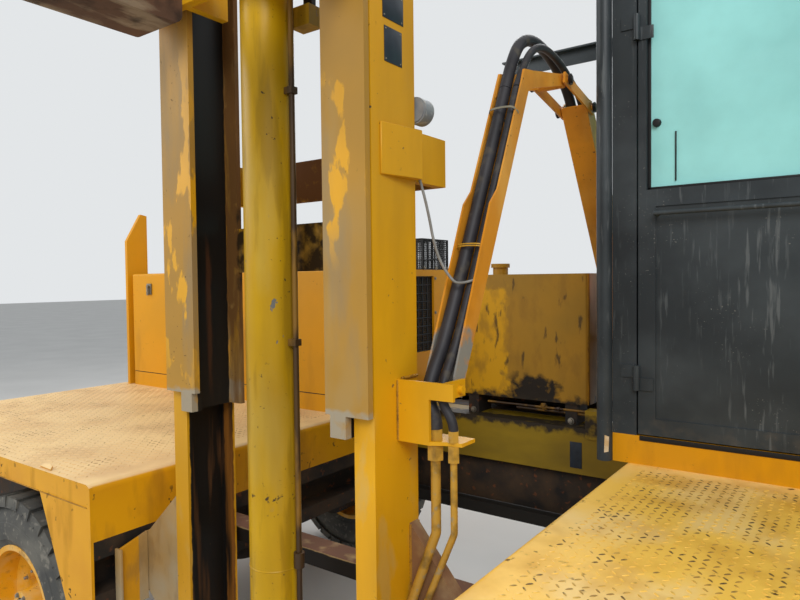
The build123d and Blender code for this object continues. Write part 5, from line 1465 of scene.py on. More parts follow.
@dataclass
class Wheel:
    """One road wheel's tyre, with a round carcass and deep shoulder lugs, and its small parts."""

    name: str
    body: str
    middle: Point
    out: float
    radius: float = 450.0
    half_width: float = 150.0
    lugs: int = 28
    lug_depth: float = 20.0
    lug_foot: float = 408.0
    lug_half: tuple[float, float] = (38.0, 43.0)
    lug_draft: float = 3.0
    lug_start: float = 8.0
    lug_skew: float = 8.0
    lug_edge: float = 3.5
    shoulder: tuple[float, float] = (4.0, 11.0)
    studs: int = 10
    stud_circle: float = 122.0
    stud_face: float = 50.0
    stud_length: float = 14.0
    stud: tuple[float, float] = (7.0, 6.0)
    hub_screws: int = 6
    hub_circle: float = 52.0
    hub_face: float = 120.0
    hub_screw: tuple[float, float] = (15.0, 7.0)
    cap: tuple[float, float] = (36.0, 32.0)
    cap_height: float = 10.0
    valve: Point = (28.0, 62.0, 74.0)
    valve_stem: tuple[float, float] = (5.0, 4.0)
    valve_cap: float = 6.0
    valve_place: float = 205.0
    carcass: tuple[tuple[float, float], ...] = (
        (242.0, 112.0),
        (243.0, 124.0),
        (262.0, 134.0),
        (276.0, 143.0),
        (279.0, 146.0),
        (285.0, 146.0),
        (290.0, 148.0),
        (318.0, 150.0),
        (344.0, 149.0),
        (348.0, 146.0),
        (354.0, 146.0),
        (376.0, 141.0),
        (404.0, 132.0),
        (420.0, 118.0),
        (427.0, 100.0),
        (428.0, 50.0),
    )

    def build(self) -> None:
        """Build the tyre with its lugs in the plain tyre's place, then the small parts."""
        tyre = Piece(f"round_tyre_{self.name}")
        other = tuple((r, -h) for r, h in reversed(self.carcass))
        tyre.turned(self.middle, (0, 1, 0), self.carcass + other, sides=96)
        for side in (-1, 1):
            self.lug_row(tyre, side)
        rubber = tyre.save(FINISH.rubber, self.body, Slot.TYRE, smooth=32)
        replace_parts(rubber, f"tyre_{self.name}")
        self.small_parts()

    def lug_row(self, tyre: Piece, side: int) -> None:
        """Add one row of lugs: tapered blocks that run over the shoulder, copied round.

        Args:
            tyre: The tyre in the making.
            side: -1 or 1, the shoulder that they are on.
        """
        lug = Piece("lug")
        for vert in bmesh.ops.create_cube(lug.mesh, size=1.0)["verts"]:
            far, high = vert.co.y > 0, vert.co.z > 0
            width = self.lug_half[far] - self.lug_draft * high
            shift = 0.0 if far else self.lug_skew * side
            shoulder = self.half_width - self.shoulder[high]
            foot = self.lug_foot if far else self.radius - self.lug_depth - 4
            vert.co = Vector(
                (
                    math.copysign(width, vert.co.x) + shift,
                    shoulder if far else self.lug_start,
                    self.radius - 1 if high else foot,
                )
            )
        longest = min(self.lug_half)
        across = [e for e in lug.mesh.edges if abs(e.verts[0].co.x - e.verts[1].co.x) > longest]
        bmesh.ops.subdivide_edges(lug.mesh, edges=across, cuts=1, use_grid_fill=True)
        for vert in lug.mesh.verts:
            vert.co.z = math.sqrt(vert.co.z**2 - vert.co.x**2)
            vert.co.y *= side
        lug.soften(list(lug.mesh.verts), self.lug_edge, segments=1)
        shape = bpy.data.meshes.new("lug")
        lug.mesh.to_mesh(shape)
        lug.mesh.free()
        step = 2 * math.pi / self.lugs
        shape.transform(Matrix.Rotation((side + 1) / 4 * step, 4, "Y"))
        shape.transform(Matrix.Translation(self.middle))
        centre = Matrix.Translation(self.middle)
        turn = centre @ Matrix.Rotation(step, 4, "Y") @ centre.inverted()
        for _ in range(self.lugs):
            tyre.mesh.from_mesh(shape)
            shape.transform(turn)
        bpy.data.meshes.remove(shape)

    def small_parts(self) -> None:
        """Add the ends of the studs, the hub's screws and cap, and the valve."""
        small = Piece(f"wheel_fittings_{self.name}")
        x, y, z = self.middle
        face = y + self.out * self.stud_face
        for index in range(self.studs):
            turn = index * 2 * math.pi / self.studs
            across, up = (self.stud_circle * f(turn) for f in (math.cos, math.sin))
            tip = face + self.out * self.stud_length
            small.rod((x + across, face, z + up), (x + across, tip, z + up), *self.stud, 12, 1.0)
        hub = y + self.out * self.hub_face
        for index in range(self.hub_screws):
            turn = index * 2 * math.pi / self.hub_screws
            across, up = (self.hub_circle * f(turn) for f in (math.cos, math.sin))
            small.bolt((x + across, hub, z + up), (0, self.out, 0), *self.hub_screw)
        small.rod((x, hub, z), (x, hub + self.out * self.cap_height, z), *self.cap, 40, 3.0)
        foot, neck, cap = (y + self.out * reach for reach in self.valve)
        across = x + self.valve_place
        small.rod((across, foot, z), (across, neck, z), *self.valve_stem, 12)
        small.rod((across, neck, z), (across, cap, z), self.valve_cap, sides=12)
        small.save(FINISH.zinc, self.body, Slot.ROLLER_STEEL)


@dataclass
class Wheels:
    """The four road wheels."""

    height: float = 450.0
    axles: tuple[tuple[str, float], ...] = (("rear", -1170.0), ("front", 1585.0))
    sides: tuple[tuple[str, float, float], ...] = (("near", -460.0, -1.0), ("far", 1540.0, 1.0))

    def wheels(self) -> list[Wheel]:
        """List the wheels.

        Returns:
            One wheel for each end and side.
        """
        return [
            Wheel(f"{end}_{side}", f"wheel_{end}_{side}", (x, y, self.height), out)
            for end, x in self.axles
            for side, y, out in self.sides
        ]


@dataclass
class Fixing:
    """Like bolts on one body, one at each crossing of their x, y and z values."""

    name: str
    body: str
    places: tuple[tuple[float, ...], tuple[float, ...], tuple[float, ...]]
    facing: Point
    across: float
    height: float
    finish: Finish = FINISH.zinc

    def build(self) -> None:
        """Build the bolts as one piece."""
        piece = Piece(self.name)
        for place in itertools.product(*self.places):
            piece.bolt(place, self.facing, self.across, self.height)
        piece.save(self.finish, self.body, Slot.ROLLER_STEEL, smooth=30)


@dataclass
class Fastenings:
    """The bolts that hold the truck together where they show."""

    groups: tuple[Fixing, ...] = (
        Fixing(
            "guard_bolts",
            "chassis",
            ((-559.0,), (1420.0, 1544.0, 1668.0), (1806.0,)),
            (1, 0, 0),
            16.0,
            6.0,
        ),
        Fixing(
            "grille_screws",
            "chassis",
            ((-559.0,), (1306.0, 1534.0), (1330.0, 1540.0, 1744.0)),
            (1, 0, 0),
            14.0,
            5.0,
        ),
        Fixing(
            "plinth_bolts", "chassis", ((1960.0, 2300.0), (645.0,), (1080.0,)), (0, -1, 0), 22.0, 8.0
        ),
        Fixing(
            "hood_bolts",
            "chassis",
            ((-2423.0,), (800.0, 1200.0, 1600.0), (1120.0,)),
            (-1, 0, 0),
            20.0,
            8.0,
        ),
        Fixing(
            "tank_foot_bolts",
            "chassis",
            ((-145.5, 391.5), (1260.0,), (1046.0,)),
            (0, -1, 0),
            24.0,
            9.0,
        ),
        Fixing(
            "carriage_bolts",
            "fork_carriage",
            ((-268.0, 403.0), (-500.0,), (2645.0, 3055.0)),
            (0, -1, 0),
            46.0,
            16.0,
            FINISH.grease,
        ),
        Fixing(
            "head_bolts",
            "trolley",
            ((-240.0, 67.5, 375.0), (-196.0,), (2920.0,)),
            (0, 1, 0),
            30.0,
            12.0,
        ),
    )


@dataclass
class MastTrim:
    """Blank plates, weld beads, the trolley's left cheek and the cylinder's gland."""

    face: float = 502.0
    plates: tuple[tuple[float, float, float, float], ...] = (
        (-366.0, -272.0, 2436.0, 2512.0),
        (-360.0, -280.0, 2322.0, 2416.0),
    )
    plate_thick: float = 1.6
    rivet_inset: float = 7.0
    rivet: Point = (2.6, 1.6, 1.6)
    bead: float = 5.0
    beads: tuple[Box, ...] = (
        ((500.0, -222.0, 2018.0), (500.0, -222.0, 2160.0)),
        ((504.0, -300.0, 1466.0), (504.0, -222.0, 1466.0)),
        ((504.0, -318.0, 1300.0), (504.0, -318.0, 1464.0)),
        ((-365.0, -222.0, 2018.0), (-365.0, -222.0, 2160.0)),
        ((-370.0, -397.0, 642.0), (-370.0, -397.0, 1005.0)),
        ((504.0, -264.0, 684.0), (504.0, -264.0, 1046.0)),
        ((504.0, -224.0, 684.0), (504.0, -224.0, 1046.0)),
    )
    cheek: tuple[Point, ...] = (
        (-547.0, -530.0, 606.0),
        (-547.0, -530.0, 818.0),
        (-547.0, -422.0, 850.0),
        (-547.0, -422.0, 606.0),
    )
    cheek_thick: float = 10.0
    cheek_bar: Box = ((-552.0, -540.0, 600.0), (-518.0, -530.0, 822.0))
    lead_in: tuple[Point, ...] = (
        (502.0, -384.0, 2020.0),
        (508.0, -384.0, 2020.0),
        (532.0, -224.0, 2020.0),
        (502.0, -224.0, 2020.0),
    )
    lead_in_height: float = 138.0
    cylinder: tuple[float, float] = (67.5, -370.0)
    gland_top: float = 2640.0
    gland: tuple[tuple[float, float], ...] = (
        (80.0, -16.0),
        (84.0, -16.0),
        (87.0, -12.0),
        (87.0, -3.0),
        (84.0, 0.0),
        (80.0, 0.0),
    )
    seam_place: float = 870.0
    seam: tuple[tuple[float, float], ...] = ((79.0, -4.0), (81.5, 0.0), (79.0, 4.0))
    screw_circle: tuple[float, float] = (87.0, 2670.0)
    screws: int = 8
    screw_turn: float = 0.2

    def build(self) -> None:
        """Build the plates with their rivets, the welds, the cheek, the lead-in and the gland."""
        self.fix_plates()
        welds = Piece("mast_welds")
        for start, end in self.beads:
            welds.weld(start, end, self.bead)
        welds.save(FINISH.weld, "trolley", Slot.MAST_PAINT, smooth=60)
        cheek = Piece("trolley_cheek")
        cheek.sheet(list(self.cheek), -self.cheek_thick, 1.0)
        cheek.block(*self.cheek_bar, 2.0)
        cheek.save(FINISH.rubbed, "trolley", Slot.MAST_PAINT)
        pad = Piece("yoke_lead_in")
        pad.sheet(list(self.lead_in), self.lead_in_height, 2.0)
        pad.save(FINISH.mast, "trolley", Slot.MAST_PAINT)
        self.fit_gland()

    def fix_plates(self) -> None:
        """Rivet the blank plates to the right upright."""
        blank = Piece("mast_blank_plates")
        rivets = Piece("mast_plate_rivets")
        front = self.face + self.plate_thick
        foot, head, rise = self.rivet
        for near, far, low, high in self.plates:
            blank.block((self.face, near, low), (front, far, high), 0.5)
            for y in (near + self.rivet_inset, far - self.rivet_inset):
                for z in (low + self.rivet_inset, high - self.rivet_inset):
                    rivets.rod((front, y, z), (front + rise, y, z), foot, head, 10)
        blank.save(FINISH.blank_plate, "trolley", Slot.MAST_PAINT)
        rivets.save(FINISH.zinc, "trolley", Slot.ROLLER_STEEL)

    def fit_gland(self) -> None:
        """Turn the cylinder's gland and its weld seam, and set the gland's screws."""
        ring = Piece("cylinder_gland")
        x, y = self.cylinder
        ring.turned((x, y, self.gland_top), (0, 0, 1), self.gland, 64)
        ring.turned((x, y, self.seam_place), (0, 0, 1), self.seam, 64)
        radius, height = self.screw_circle
        for index in range(self.screws):
            angle = index * 2 * math.pi / self.screws + self.screw_turn
            out = (math.cos(angle), math.sin(angle), 0.0)
            ring.bolt((x + radius * out[0], y + radius * out[1], height), out, 12.0, 3.0)
        ring.save(FINISH.barrel, "trolley", Slot.MAST_PAINT)


@dataclass
class GuideTrim:
    """Pivot nuts of the folding hose guide, and the ties round its hoses."""

    pivots: tuple[tuple[float, float], ...] = ((532.0, 2456.0), (785.0, 2408.0))
    nut_faces: tuple[tuple[float, float], ...] = ((670.0, 1.0), (524.0, -1.0))
    nut: tuple[float, float] = (30.0, 4.0)
    hose_way: Point = (0.0, 358.0, 750.0)
    ribbon_place: Point = (598.0, 150.0, 2268.0)
    wire_places: tuple[Point, ...] = ((598.0, -62.0, 1824.0), (598.0, -59.6, 1830.0))

    def build(self) -> None:
        """Build the pivots' nuts, then the ribbon and the wire that tie the hoses."""
        nuts = Piece("guide_pivot_nuts")
        for x, out in self.nut_faces:
            for y, z in self.pivots:
                nuts.bolt((x, y, z), (out, 0, 0), *self.nut)
        nuts.save(FINISH.grease, "straps", Slot.GREASED_STEEL)
        ribbon = Piece("hose_ribbon_tie")
        ribbon.band(self.ribbon_place, self.hose_way, (48.0, 33.0), 7.0, 1.6)
        ribbon.save(FINISH.ribbon, "trolley", Slot.HOSE_RUBBER)
        wire = Piece("hose_wire_tie")
        for place in self.wire_places:
            wire.band(place, self.hose_way, (47.0, 32.0), 3.4, 2.6)
        wire.save(FINISH.wire, "trolley", Slot.HOSE_RUBBER)


@dataclass
class DeckTrim:
    """The raised tab, weld lines, arch liners and step treads of the two deck platforms."""

    tab: tuple[Point, ...] = (
        (-935.0, -600.0, DECK_TOP),
        (-918.0, -590.0, DECK_TOP + 9),
        (-888.0, -584.0, DECK_TOP + 12),
        (-862.0, -590.0, DECK_TOP + 8),
        (-846.0, -604.0, DECK_TOP),
    )
    tab_thick: float = 6.0
    seam_line: tuple[float, float] = (-621.0, 981.0)
    bead: float = 2.6
    seams: tuple[tuple[float, float], ...] = ((-2540.0, -910.0), (-900.0, -578.0), (850.0, 2130.0))
    liner_sides: tuple[float, float] = (-298.0, 1372.0)
    liner_thick: float = 6.0
    liner: tuple[tuple[float, float], ...] = (
        (-2400.0, 1050.0),
        (-2400.0, 760.0),
        (-2260.0, 640.0),
        (-1690.0, 640.0),
        (-1400.0, 560.0),
        (-940.0, 560.0),
        (-660.0, 700.0),
        (-652.0, 1050.0),
    )
    middle: float = 540.0
    step_reach: float = 1160.0
    step_length: tuple[float, float] = (2150.0, 2460.0)
    step_tops: tuple[float, float] = (440.0, 720.0)
    treads: int = 8
    tread_inset: float = 14.0
    tread_pitch: float = 15.0
    tread: tuple[float, float] = (4.0, 3.0)

    def build(self) -> None:
        """Build the tab, the weld lines, the liners and the treads of the steps."""
        tab = Piece("deck_tab")
        tab.sheet(list(self.tab), -self.tab_thick, 1.0)
        tab.save(FINISH.deck_rear, "chassis", Slot.DECK_PAINT)
        welds = Piece("deck_welds")
        y, z = self.seam_line
        for start, end in self.seams:
            welds.weld((start, y, z), (end, y, z), self.bead)
        welds.save(FINISH.weld, "chassis", Slot.DECK_PAINT, smooth=60)
        arches = Piece("rear_arch_liners")
        for side in self.liner_sides:
            arches.sheet([(x, side, z) for x, z in self.liner], -self.liner_thick, 1.0)
        arches.save(FINISH.chassis_black, "chassis", Slot.AXLE_PAINT)
        self.lay_treads()

    def lay_treads(self) -> None:
        """Lay the ribs that keep a boot from slipping on the steps."""
        ribs = Piece("step_treads")
        start, end = self.step_length
        width, height = self.tread
        for side in (-1, 1):
            outer = self.middle + side * self.step_reach
            for z in self.step_tops:
                for index in range(self.treads):
                    y = outer - side * (self.tread_inset + index * self.tread_pitch)
                    ribs.block((start, y - width / 2, z), (end, y + width / 2, z + height), 0.8)
        ribs.save(FINISH.chassis_black, "chassis", Slot.AXLE_PAINT)


@dataclass
class CoverTrim:
    """Radiator core, hood seal, hood hinges and the wires of the mesh guard."""

    core_plane: float = -579.0
    core_y: tuple[float, float] = (1322.0, 1518.0)
    core_z: tuple[float, float] = (1318.0, 1755.0)
    fins: int = 21
    fin_start: float = 2.0
    fin: Point = (9.6, 1.6, 3.0)
    tubes: int = 37
    tube_start: float = 4.0
    tube: Point = (12.0, 3.2, 1.4)
    seal: Box = ((-2421.0, 716.5, 1148.6), (-561.0, 720.0, 1152.4))
    hinge_places: tuple[float, ...] = (-2150.0, -1500.0, -850.0)
    hinge_line: tuple[float, float] = (1695.0, 1150.0)
    hinge: tuple[float, float] = (90.0, 8.0)
    guard: Box = ((-799.0, 1400.0, 1796.0), (-559.0, 1688.0, 1980.0))
    wire: float = 2.0
    wire_pitch: float = 12.0
    row_pitch: float = 12.2
    wire_end: float = 4.0
    wire_counts: tuple[int, int, int] = (23, 14, 19)
    wire_depths: tuple[float, float] = (3.0, 5.0)

    def build(self) -> None:
        """Build the core behind the grille, the seal in the gap line, the hinges and the wires."""
        self.build_core()
        seal = Piece("hood_seal")
        seal.block(*self.seal)
        seal.save(FINISH.nylon, "chassis", Slot.HOSE_RUBBER)
        hinges = Piece("hood_hinges")
        length, radius = self.hinge
        for middle in self.hinge_places:
            start, end = ((middle + half, *self.hinge_line) for half in (-length / 2, length / 2))
            hinges.rod(start, end, radius, radius, 18, 1.5)
        hinges.save(FINISH.zinc, "chassis", Slot.ROLLER_STEEL)
        self.weave_wires()

    def build_core(self) -> None:
        """Build the radiator's upright fins and the tubes across them."""
        core = Piece("radiator_core")
        plane, (near, far), (low, high) = self.core_plane, self.core_y, self.core_z
        pitch, width, depth = self.fin
        for index in range(self.fins):
            y = near + self.fin_start + index * pitch
            core.block((plane, y - width / 2, low), (plane + depth, y + width / 2, high))
        pitch, width, depth = self.tube
        for index in range(self.tubes):
            z = low + self.tube_start + index * pitch
            core.block((plane, near, z - width / 2), (plane + depth, far, z + width / 2))
        core.save(FINISH.core, "chassis", Slot.BLACK_MESH)

    def weave_wires(self) -> None:
        """Weave the fine wires over the five open sides of the guard's frame."""
        wires = Piece("guard_wires")
        low, high = self.guard
        end = self.wire_end
        (x0, y0, z0), (x1, y1, z1) = ((c + end for c in low), (c - end for c in high))
        across, rows, along = self.wire_counts
        outer, inner = self.wire_depths
        for index in range(1, across + 1):
            y = low[1] + index * self.wire_pitch
            for x in (high[0] - outer, low[0] + outer):
                wires.rod((x, y, z0), (x, y, z1), self.wire, sides=5)
        for index in range(1, rows + 1):
            z = low[2] + index * self.row_pitch
            for x in (high[0] - inner, low[0] + inner):
                wires.rod((x, y0, z), (x, y1, z), self.wire, sides=5)
            for y in (low[1] + outer, high[1] - outer):
                wires.rod((x0, y, z), (x1, y, z), self.wire, sides=5)
        for index in range(1, along + 1):
            x = low[0] + index * self.wire_pitch
            for y in (low[1] + inner, high[1] - inner):
                wires.rod((x, y, z0), (x, y, z1), self.wire, sides=5)
            wires.rod((x, y0, high[2] - outer), (x, y1, high[2] - outer), self.wire, sides=5)
        wires.save(FINISH.mesh, "chassis", Slot.BLACK_MESH)


@dataclass
class TankTrim:
    """Level pipes, a blank plate and welds round the tank and the far beam, and black plates of painted
    shade under the tank and over the sill.
    """

    pipes: tuple[tuple[float, float, float, float, float], ...] = (
        (-60.0, 478.0, 1262.0, 1098.0, 6.0),
        (100.0, 478.0, 1274.0, 1082.0, 8.0),
    )
    union_bolt: Point = (250.0, 1262.0, 1104.0)
    unions: tuple[tuple[float, float, float], ...] = ((244.0, 268.0, 12.0), (320.0, 334.0, 11.0))
    union_line: tuple[float, float] = (1262.0, 1098.0)
    # Black plates under and behind the tank, standing for a floor plate, and black as painted shade for
    # the shadow there
    tray: tuple[Box, ...] = (
        ((-556.0, 1402.0, 1026.0), (474.0, 1646.0, 1032.0)),
        ((-556.0, 1640.0, 1032.0), (474.0, 1646.0, 1126.0)),
    )
    plate: Box = ((408.0, 1197.6, 838.0), (466.0, 1200.0, 962.0))
    # Painted shade: a black plate between the far beam and the sill, standing in for the deep shade
    # there
    guard: Box = ((-556.0, 1252.0, 582.0), (826.0, 1257.0, 812.0))
    seam_sides: tuple[float, float] = (-233.0, 479.0)
    seam_front: float = 1252.0
    seam_height: tuple[float, float] = (1134.0, 1756.0)
    bead: float = 2.4

    def build(self) -> None:
        """Build the pipes with their unions, the black plates of painted shade, the blank plate and the
        tank's seams.
        """
        pipes = Piece("tank_pipes")
        for start, end, y, z, radius in self.pipes:
            pipes.rod((start, y, z), (end, y, z), radius, sides=16)
        pipes.bolt(self.union_bolt, (0, 0, 1), 26.0, 10.0)
        for start, end, radius in self.unions:
            pipes.rod((start, *self.union_line), (end, *self.union_line), radius, sides=6)
        pipes.save(FINISH.dark_pipe, "chassis", Slot.GREASED_STEEL)
        # Painted shade: black plates under the tank
        tray = Piece("tank_shade_tray")
        for low, high in self.tray:
            tray.block(low, high, 1.0)
        tray.save(FINISH.chassis_black, "chassis", Slot.AXLE_PAINT)
        plate = Piece("beam_blank_plate")
        plate.block(*self.plate, 1.0)
        plate.save(FINISH.blank_plate, "chassis", Slot.BLACK_MESH)
        # Painted shade: the black screen over the sill
        guard = Piece("sill_shade_screen")
        guard.block(*self.guard, 1.0)
        guard.save(FINISH.chassis_black, "chassis", Slot.AXLE_PAINT)
        seams = Piece("tank_welds")
        foot, head = self.seam_height
        for x in self.seam_sides:
            seams.weld((x, self.seam_front, foot), (x, self.seam_front, head), self.bead)
        seams.save(FINISH.weld, "chassis", Slot.CHASSIS_PAINT, smooth=60)


@dataclass
class CabTrim:
    """Window seals, the strip under the door, the door's knob and bar, and the corner tag."""

    seal: float = 11.0
    window: tuple[float, float] = (2049.0, 2790.0)
    panes: tuple[tuple[Pane, float, tuple[float, float]], ...] = (
        (Pane.ACROSS_THE_ENDS, 2490.0, (745.0, 1580.0)),
        (Pane.ACROSS_THE_ENDS, 807.0, (745.0, 1580.0)),
        (Pane.ALONG_THE_SIDES, 1655.0, (887.0, 2415.0)),
        (Pane.ALONG_THE_SIDES, 665.0, (1759.0, 2415.0)),
    )
    door_pane: tuple[float, tuple[float, float]] = (665.0, (907.0, 1631.0))
    strip: Box = ((884.0, 642.6, 1148.0), (2415.0, 645.6, 1165.6))
    knob: Box = ((938.0, 667.0, 2285.0), (938.0, 652.0, 2285.0))
    knob_radius: tuple[float, float] = (15.0, 13.0)
    bar: Box = ((999.0, 662.0, 2075.0), (1004.0, 667.4, 2248.0))
    tag: tuple[Point, ...] = (
        (764.0, 617.6, 1092.0),
        (779.0, 621.5, 1096.0),
        (781.0, 622.5, 1152.0),
        (766.0, 617.8, 1157.0),
    )
    tag_thick: float = 1.0

    def build(self) -> None:
        """Build the rubber seals round the panes, the strip, the knob, the bar and the tag."""
        fixed = Piece("window_seals")
        for facing, place, across in self.panes:
            self.frame(fixed, facing, place, across)
        fixed.block(*self.strip, 0.8)
        fixed.save(FINISH.nylon, "chassis", Slot.HOSE_RUBBER)
        door = Piece("door_seals")
        self.frame(door, Pane.ALONG_THE_SIDES, *self.door_pane)
        door.rod(*self.knob, *self.knob_radius, 24, 2.0)
        door.block(*self.bar, 1.5)
        door.save(FINISH.nylon, "door", Slot.HOSE_RUBBER)
        tag = Piece("corner_tag")
        tag.sheet(list(self.tag), self.tag_thick)
        tag.save(FINISH.tag, "chassis", Slot.CHASSIS_PAINT)

    def frame(
        self, piece: Piece, facing: Pane, place: float, across: tuple[float, float]
    ) -> None:
        """Add a seal of four strips round a pane.

        Args:
            piece: The piece in the making.
            facing: The axis that the pane faces along.
            place: Where the seal starts along that axis.
            across: The opening's two sides.
        """
        (left, right), (sill, head) = across, self.window
        strips = (
            (left, right, sill, sill + self.seal),
            (left, right, head - self.seal, head),
            (left, left + self.seal, sill, head),
            (right - self.seal, right, sill, head),
        )
        for low, high, bottom, top in strips:
            if facing is Pane.ALONG_THE_SIDES:
                piece.block((low, place, bottom), (high, place + self.seal, top), 2.0)
            else:
                piece.block((place, low, bottom), (place + self.seal, high, top), 2.0)


@dataclass
class Cushion:
    """A stitched seat pad: a slightly smaller closed form that a cloth simulation swells."""

    name: str
    low: Point
    high: Point
    facing: Point
    lean: float = 0.0
    rounding: float = 24.0
    voxel: float = 8.0
    pressure: float = 4.0
    frames: int = 20
    most: float = 13.0
    seam_gap: float = 105.0
    seam_depth: float = 7.0
    seam_half: float = 15.0
    cross_seam: float = 0.7
    sewn_face: float = 0.35
    welt_inset: float = 22.0
    welt_steps: int = 96
    ray_start: float = 900.0

    def share(self, height: float) -> float:
        """Give how far up the pad a height is, from 0 to 1."""
        return (height - self.low[2]) / (self.high[2] - self.low[2])

    def depth(self, place: Vector) -> float:
        """Give a point's distance from the side that the pad rests on."""
        upright = Vector((place.x + self.lean * self.share(place.z), place.y, place.z))
        return (upright - Vector(self.low)).dot(Vector(self.facing))

    def build(self) -> list[Vector]:
        """Swell the pad, sew its channels and let it take the plain CAD seat's place.

        Returns:
            The line of its welt, in millimetres.
        """
        form = Piece(self.name)
        form.block(self.low, self.high)
        form.soften(list(form.mesh.verts), self.rounding, segments=4)
        for vert in form.mesh.verts:
            vert.co.x -= self.lean * self.share(vert.co.z)
        pad = form.save(FINISH.vinyl, "chassis", Slot.SEAT_VINYL, smooth=180.0)
        remesh = pad.modifiers.new("Remesh", "REMESH")
        remesh.mode = "VOXEL"
        remesh.voxel_size = self.voxel * MM
        self.apply(pad)
        self.swell(pad)
        self.sew(pad)
        rounded = pad.modifiers.new("Rounded", "SUBSURF")
        rounded.levels = 1
        rounded.render_levels = 1
        self.apply(pad)
        pad.data.shade_smooth()
        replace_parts(pad, "seat")
        return self.welt(pad)

    def apply(self, pad: bpy.types.Object) -> None:
        """Make the pad's modifiers part of its mesh.

        Args:
            pad: The pad's object.
        """
        graph = bpy.context.evaluated_depsgraph_get()
        made = bpy.data.meshes.new_from_object(pad.evaluated_get(graph))
        pad.modifiers.clear()
        pad.data = made

    def swell(self, pad: bpy.types.Object) -> None:
        """Blow the pad up as cloth, held on the side that it rests on.

        Args:
            pad: The pad's object.
        """
        start = [v.co.copy() for v in pad.data.vertices]
        held = pad.vertex_groups.new(name="held")
        flat = [v.index for v in pad.data.vertices if self.depth(v.co / MM) < self.voxel * 0.6]
        held.add(flat, 1.0, "REPLACE")
        cloth = pad.modifiers.new("Cloth", "CLOTH")
        cloth.settings.use_pressure = True
        cloth.settings.uniform_pressure_force = self.pressure
        cloth.settings.effector_weights.gravity = 0.0
        cloth.settings.vertex_group_mass = held.name
        for frame in range(1, self.frames + 1):
            bpy.context.scene.frame_set(frame)
        self.apply(pad)
        bpy.context.scene.frame_set(1)
        for vert, before in zip(pad.data.vertices, start):
            moved = vert.co - before
            if moved.length > self.most * MM:
                vert.co = before + moved.normalized() * self.most * MM
        pad.data.update()

    def sew(self, pad: bpy.types.Object) -> None:
        """Draw the face in along two seams and one across them.

        Args:
            pad: The pad's object.
        """
        middle = (self.low[1] + self.high[1]) / 2
        along = 2 if self.facing[0] else 0
        cross = self.low[along] + self.cross_seam * (self.high[along] - self.low[along])
        facing = Vector(self.facing)
        drops = []
        for vert in pad.data.vertices:
            place = vert.co / MM
            aside = min(abs(abs(place.y - middle) - self.seam_gap), abs(place[along] - cross))
            drop = self.seam_depth * max(0.0, 1 - (aside / self.seam_half) ** 2)
            drops.append(drop if vert.normal.dot(facing) > self.sewn_face else 0.0)
        for vert, drop in zip(pad.data.vertices, drops):
            vert.co -= facing * drop * MM
        pad.data.update()

    def welt(self, pad: bpy.types.Object) -> list[Vector]:
        """Find the line round the pad's side where its face is sewn to its border.

        Args:
            pad: The pad's object.

        Returns:
            The line's points, in millimetres, back to the first one.
        """
        tree = BVHTree.FromPolygons(
            [v.co / MM for v in pad.data.vertices],
            [tuple(p.vertices) for p in pad.data.polygons],
        )
        facing = Vector(self.facing)
        middle = (Vector(self.low) + Vector(self.high)) / 2
        middle.x -= self.lean / 2
        thick = (Vector(self.high) - Vector(self.low)).dot(facing)
        middle += facing * (thick / 2 - self.welt_inset)
        across = Vector((0, 1, 0))
        along = Vector((-self.lean, 0, self.high[2] - self.low[2])).normalized()
        if self.facing[2]:
            along = Vector((1, 0, 0))
        line = []
        for step in range(self.welt_steps + 1):
            angle = step * 2 * math.pi / self.welt_steps
            way = across * math.cos(angle) + along * math.sin(angle)
            line.append(tree.ray_cast(middle + way * self.ray_start, -way)[0])
        return line


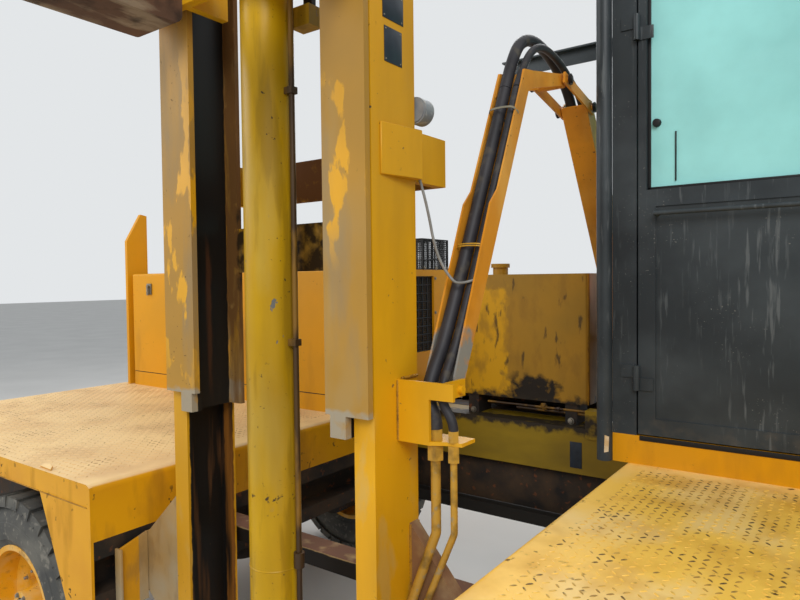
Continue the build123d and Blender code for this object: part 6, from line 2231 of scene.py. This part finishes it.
@dataclass
class Seat:
    """The driver's seat: two sewn pads with welts, on a pressed steel base."""

    cushion: Box = ((1113.0, 937.0, 1506.0), (1583.0, 1388.0, 1604.0))
    back: Box = ((1110.0, 957.0, 1628.0), (1184.0, 1368.0, 2166.0))
    back_lean: float = 76.0
    cord: float = 4.5
    base: Box = ((1147.0, 972.5, 1165.0), (1547.0, 1352.5, 1455.0))
    rail_inset: float = 40.0
    rails: tuple[tuple[float, float, float, float], ...] = (
        (18.0, 10.0, 0.0, 20.0),
        (12.0, -10.0, 20.0, 37.0),
    )
    pan: tuple[float, float, float] = (20.0, 37.0, 49.0)
    hinge: tuple[tuple[float, float], ...] = (
        (1100.0, 1500.0),
        (1160.0, 1500.0),
        (1128.0, 1760.0),
        (1088.0, 1760.0),
    )
    hinge_inset: float = 20.0
    hinge_thick: float = 6.0

    def build(self) -> None:
        """Build the pads and their welts, then the base."""
        pads = (
            Cushion("seat_cushion", *self.cushion, (0, 0, 1)),
            Cushion("seat_backrest", *self.back, (1, 0, 0), lean=self.back_lean),
        )
        welts = Piece("seat_welts")
        for pad in pads:
            welts.tube(pad.build(), self.cord, 10)
        welts.save(FINISH.nylon, "chassis", Slot.SEAT_VINYL)
        self.build_base()

    def build_base(self) -> None:
        """Build the steel box, the two slides, the pan under the cushion and the back's hinges."""
        base = Piece("seat_base")
        (x0, y0, z0), (x1, y1, z1) = self.base
        base.block((x0, y0, z0), (x1, y1, z1), 10.0)
        for y in (y0 + self.rail_inset, y1 - self.rail_inset):
            for half, out, foot, head in self.rails:
                base.block((x0 - out, y - half, z1 + foot), (x1 + out, y + half, z1 + head), 2.0)
        out, foot, head = self.pan
        base.block((x0 - out, y0 - out, z1 + foot), (x1 + out, y1 + out, z1 + head), 3.0)
        for y in (y0 + self.hinge_inset, y1 - self.hinge_inset):
            base.sheet([(x, y, z) for x, z in self.hinge], self.hinge_thick, 1.0)
        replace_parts(base.save(FINISH.cab, "chassis", Slot.SEAT_VINYL), "seat")


def main() -> None:
    """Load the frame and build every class's pieces in order."""
    logging.basicConfig(level=logging.INFO, format="%(message)s")
    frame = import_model()
    Studio().build()
    Hoses().build()
    FramePaint().dress(frame["nodes"])
    ChequerPlate("chequer_rear", (-2545.0, -625.0), (-610.0, 706.0), FINISH.bars_rear).build()
    ChequerPlate("chequer_front", (905.0, 2545.0), (-610.0, 600.0), FINISH.bars_front).build()
    for part in (*Wheels().wheels(), *Fastenings().groups):
        part.build()
    for trim in (MastTrim(), GuideTrim(), DeckTrim(), CoverTrim(), TankTrim(), CabTrim(), Seat()):
        trim.build()


if __name__ == "__main__":
    main()
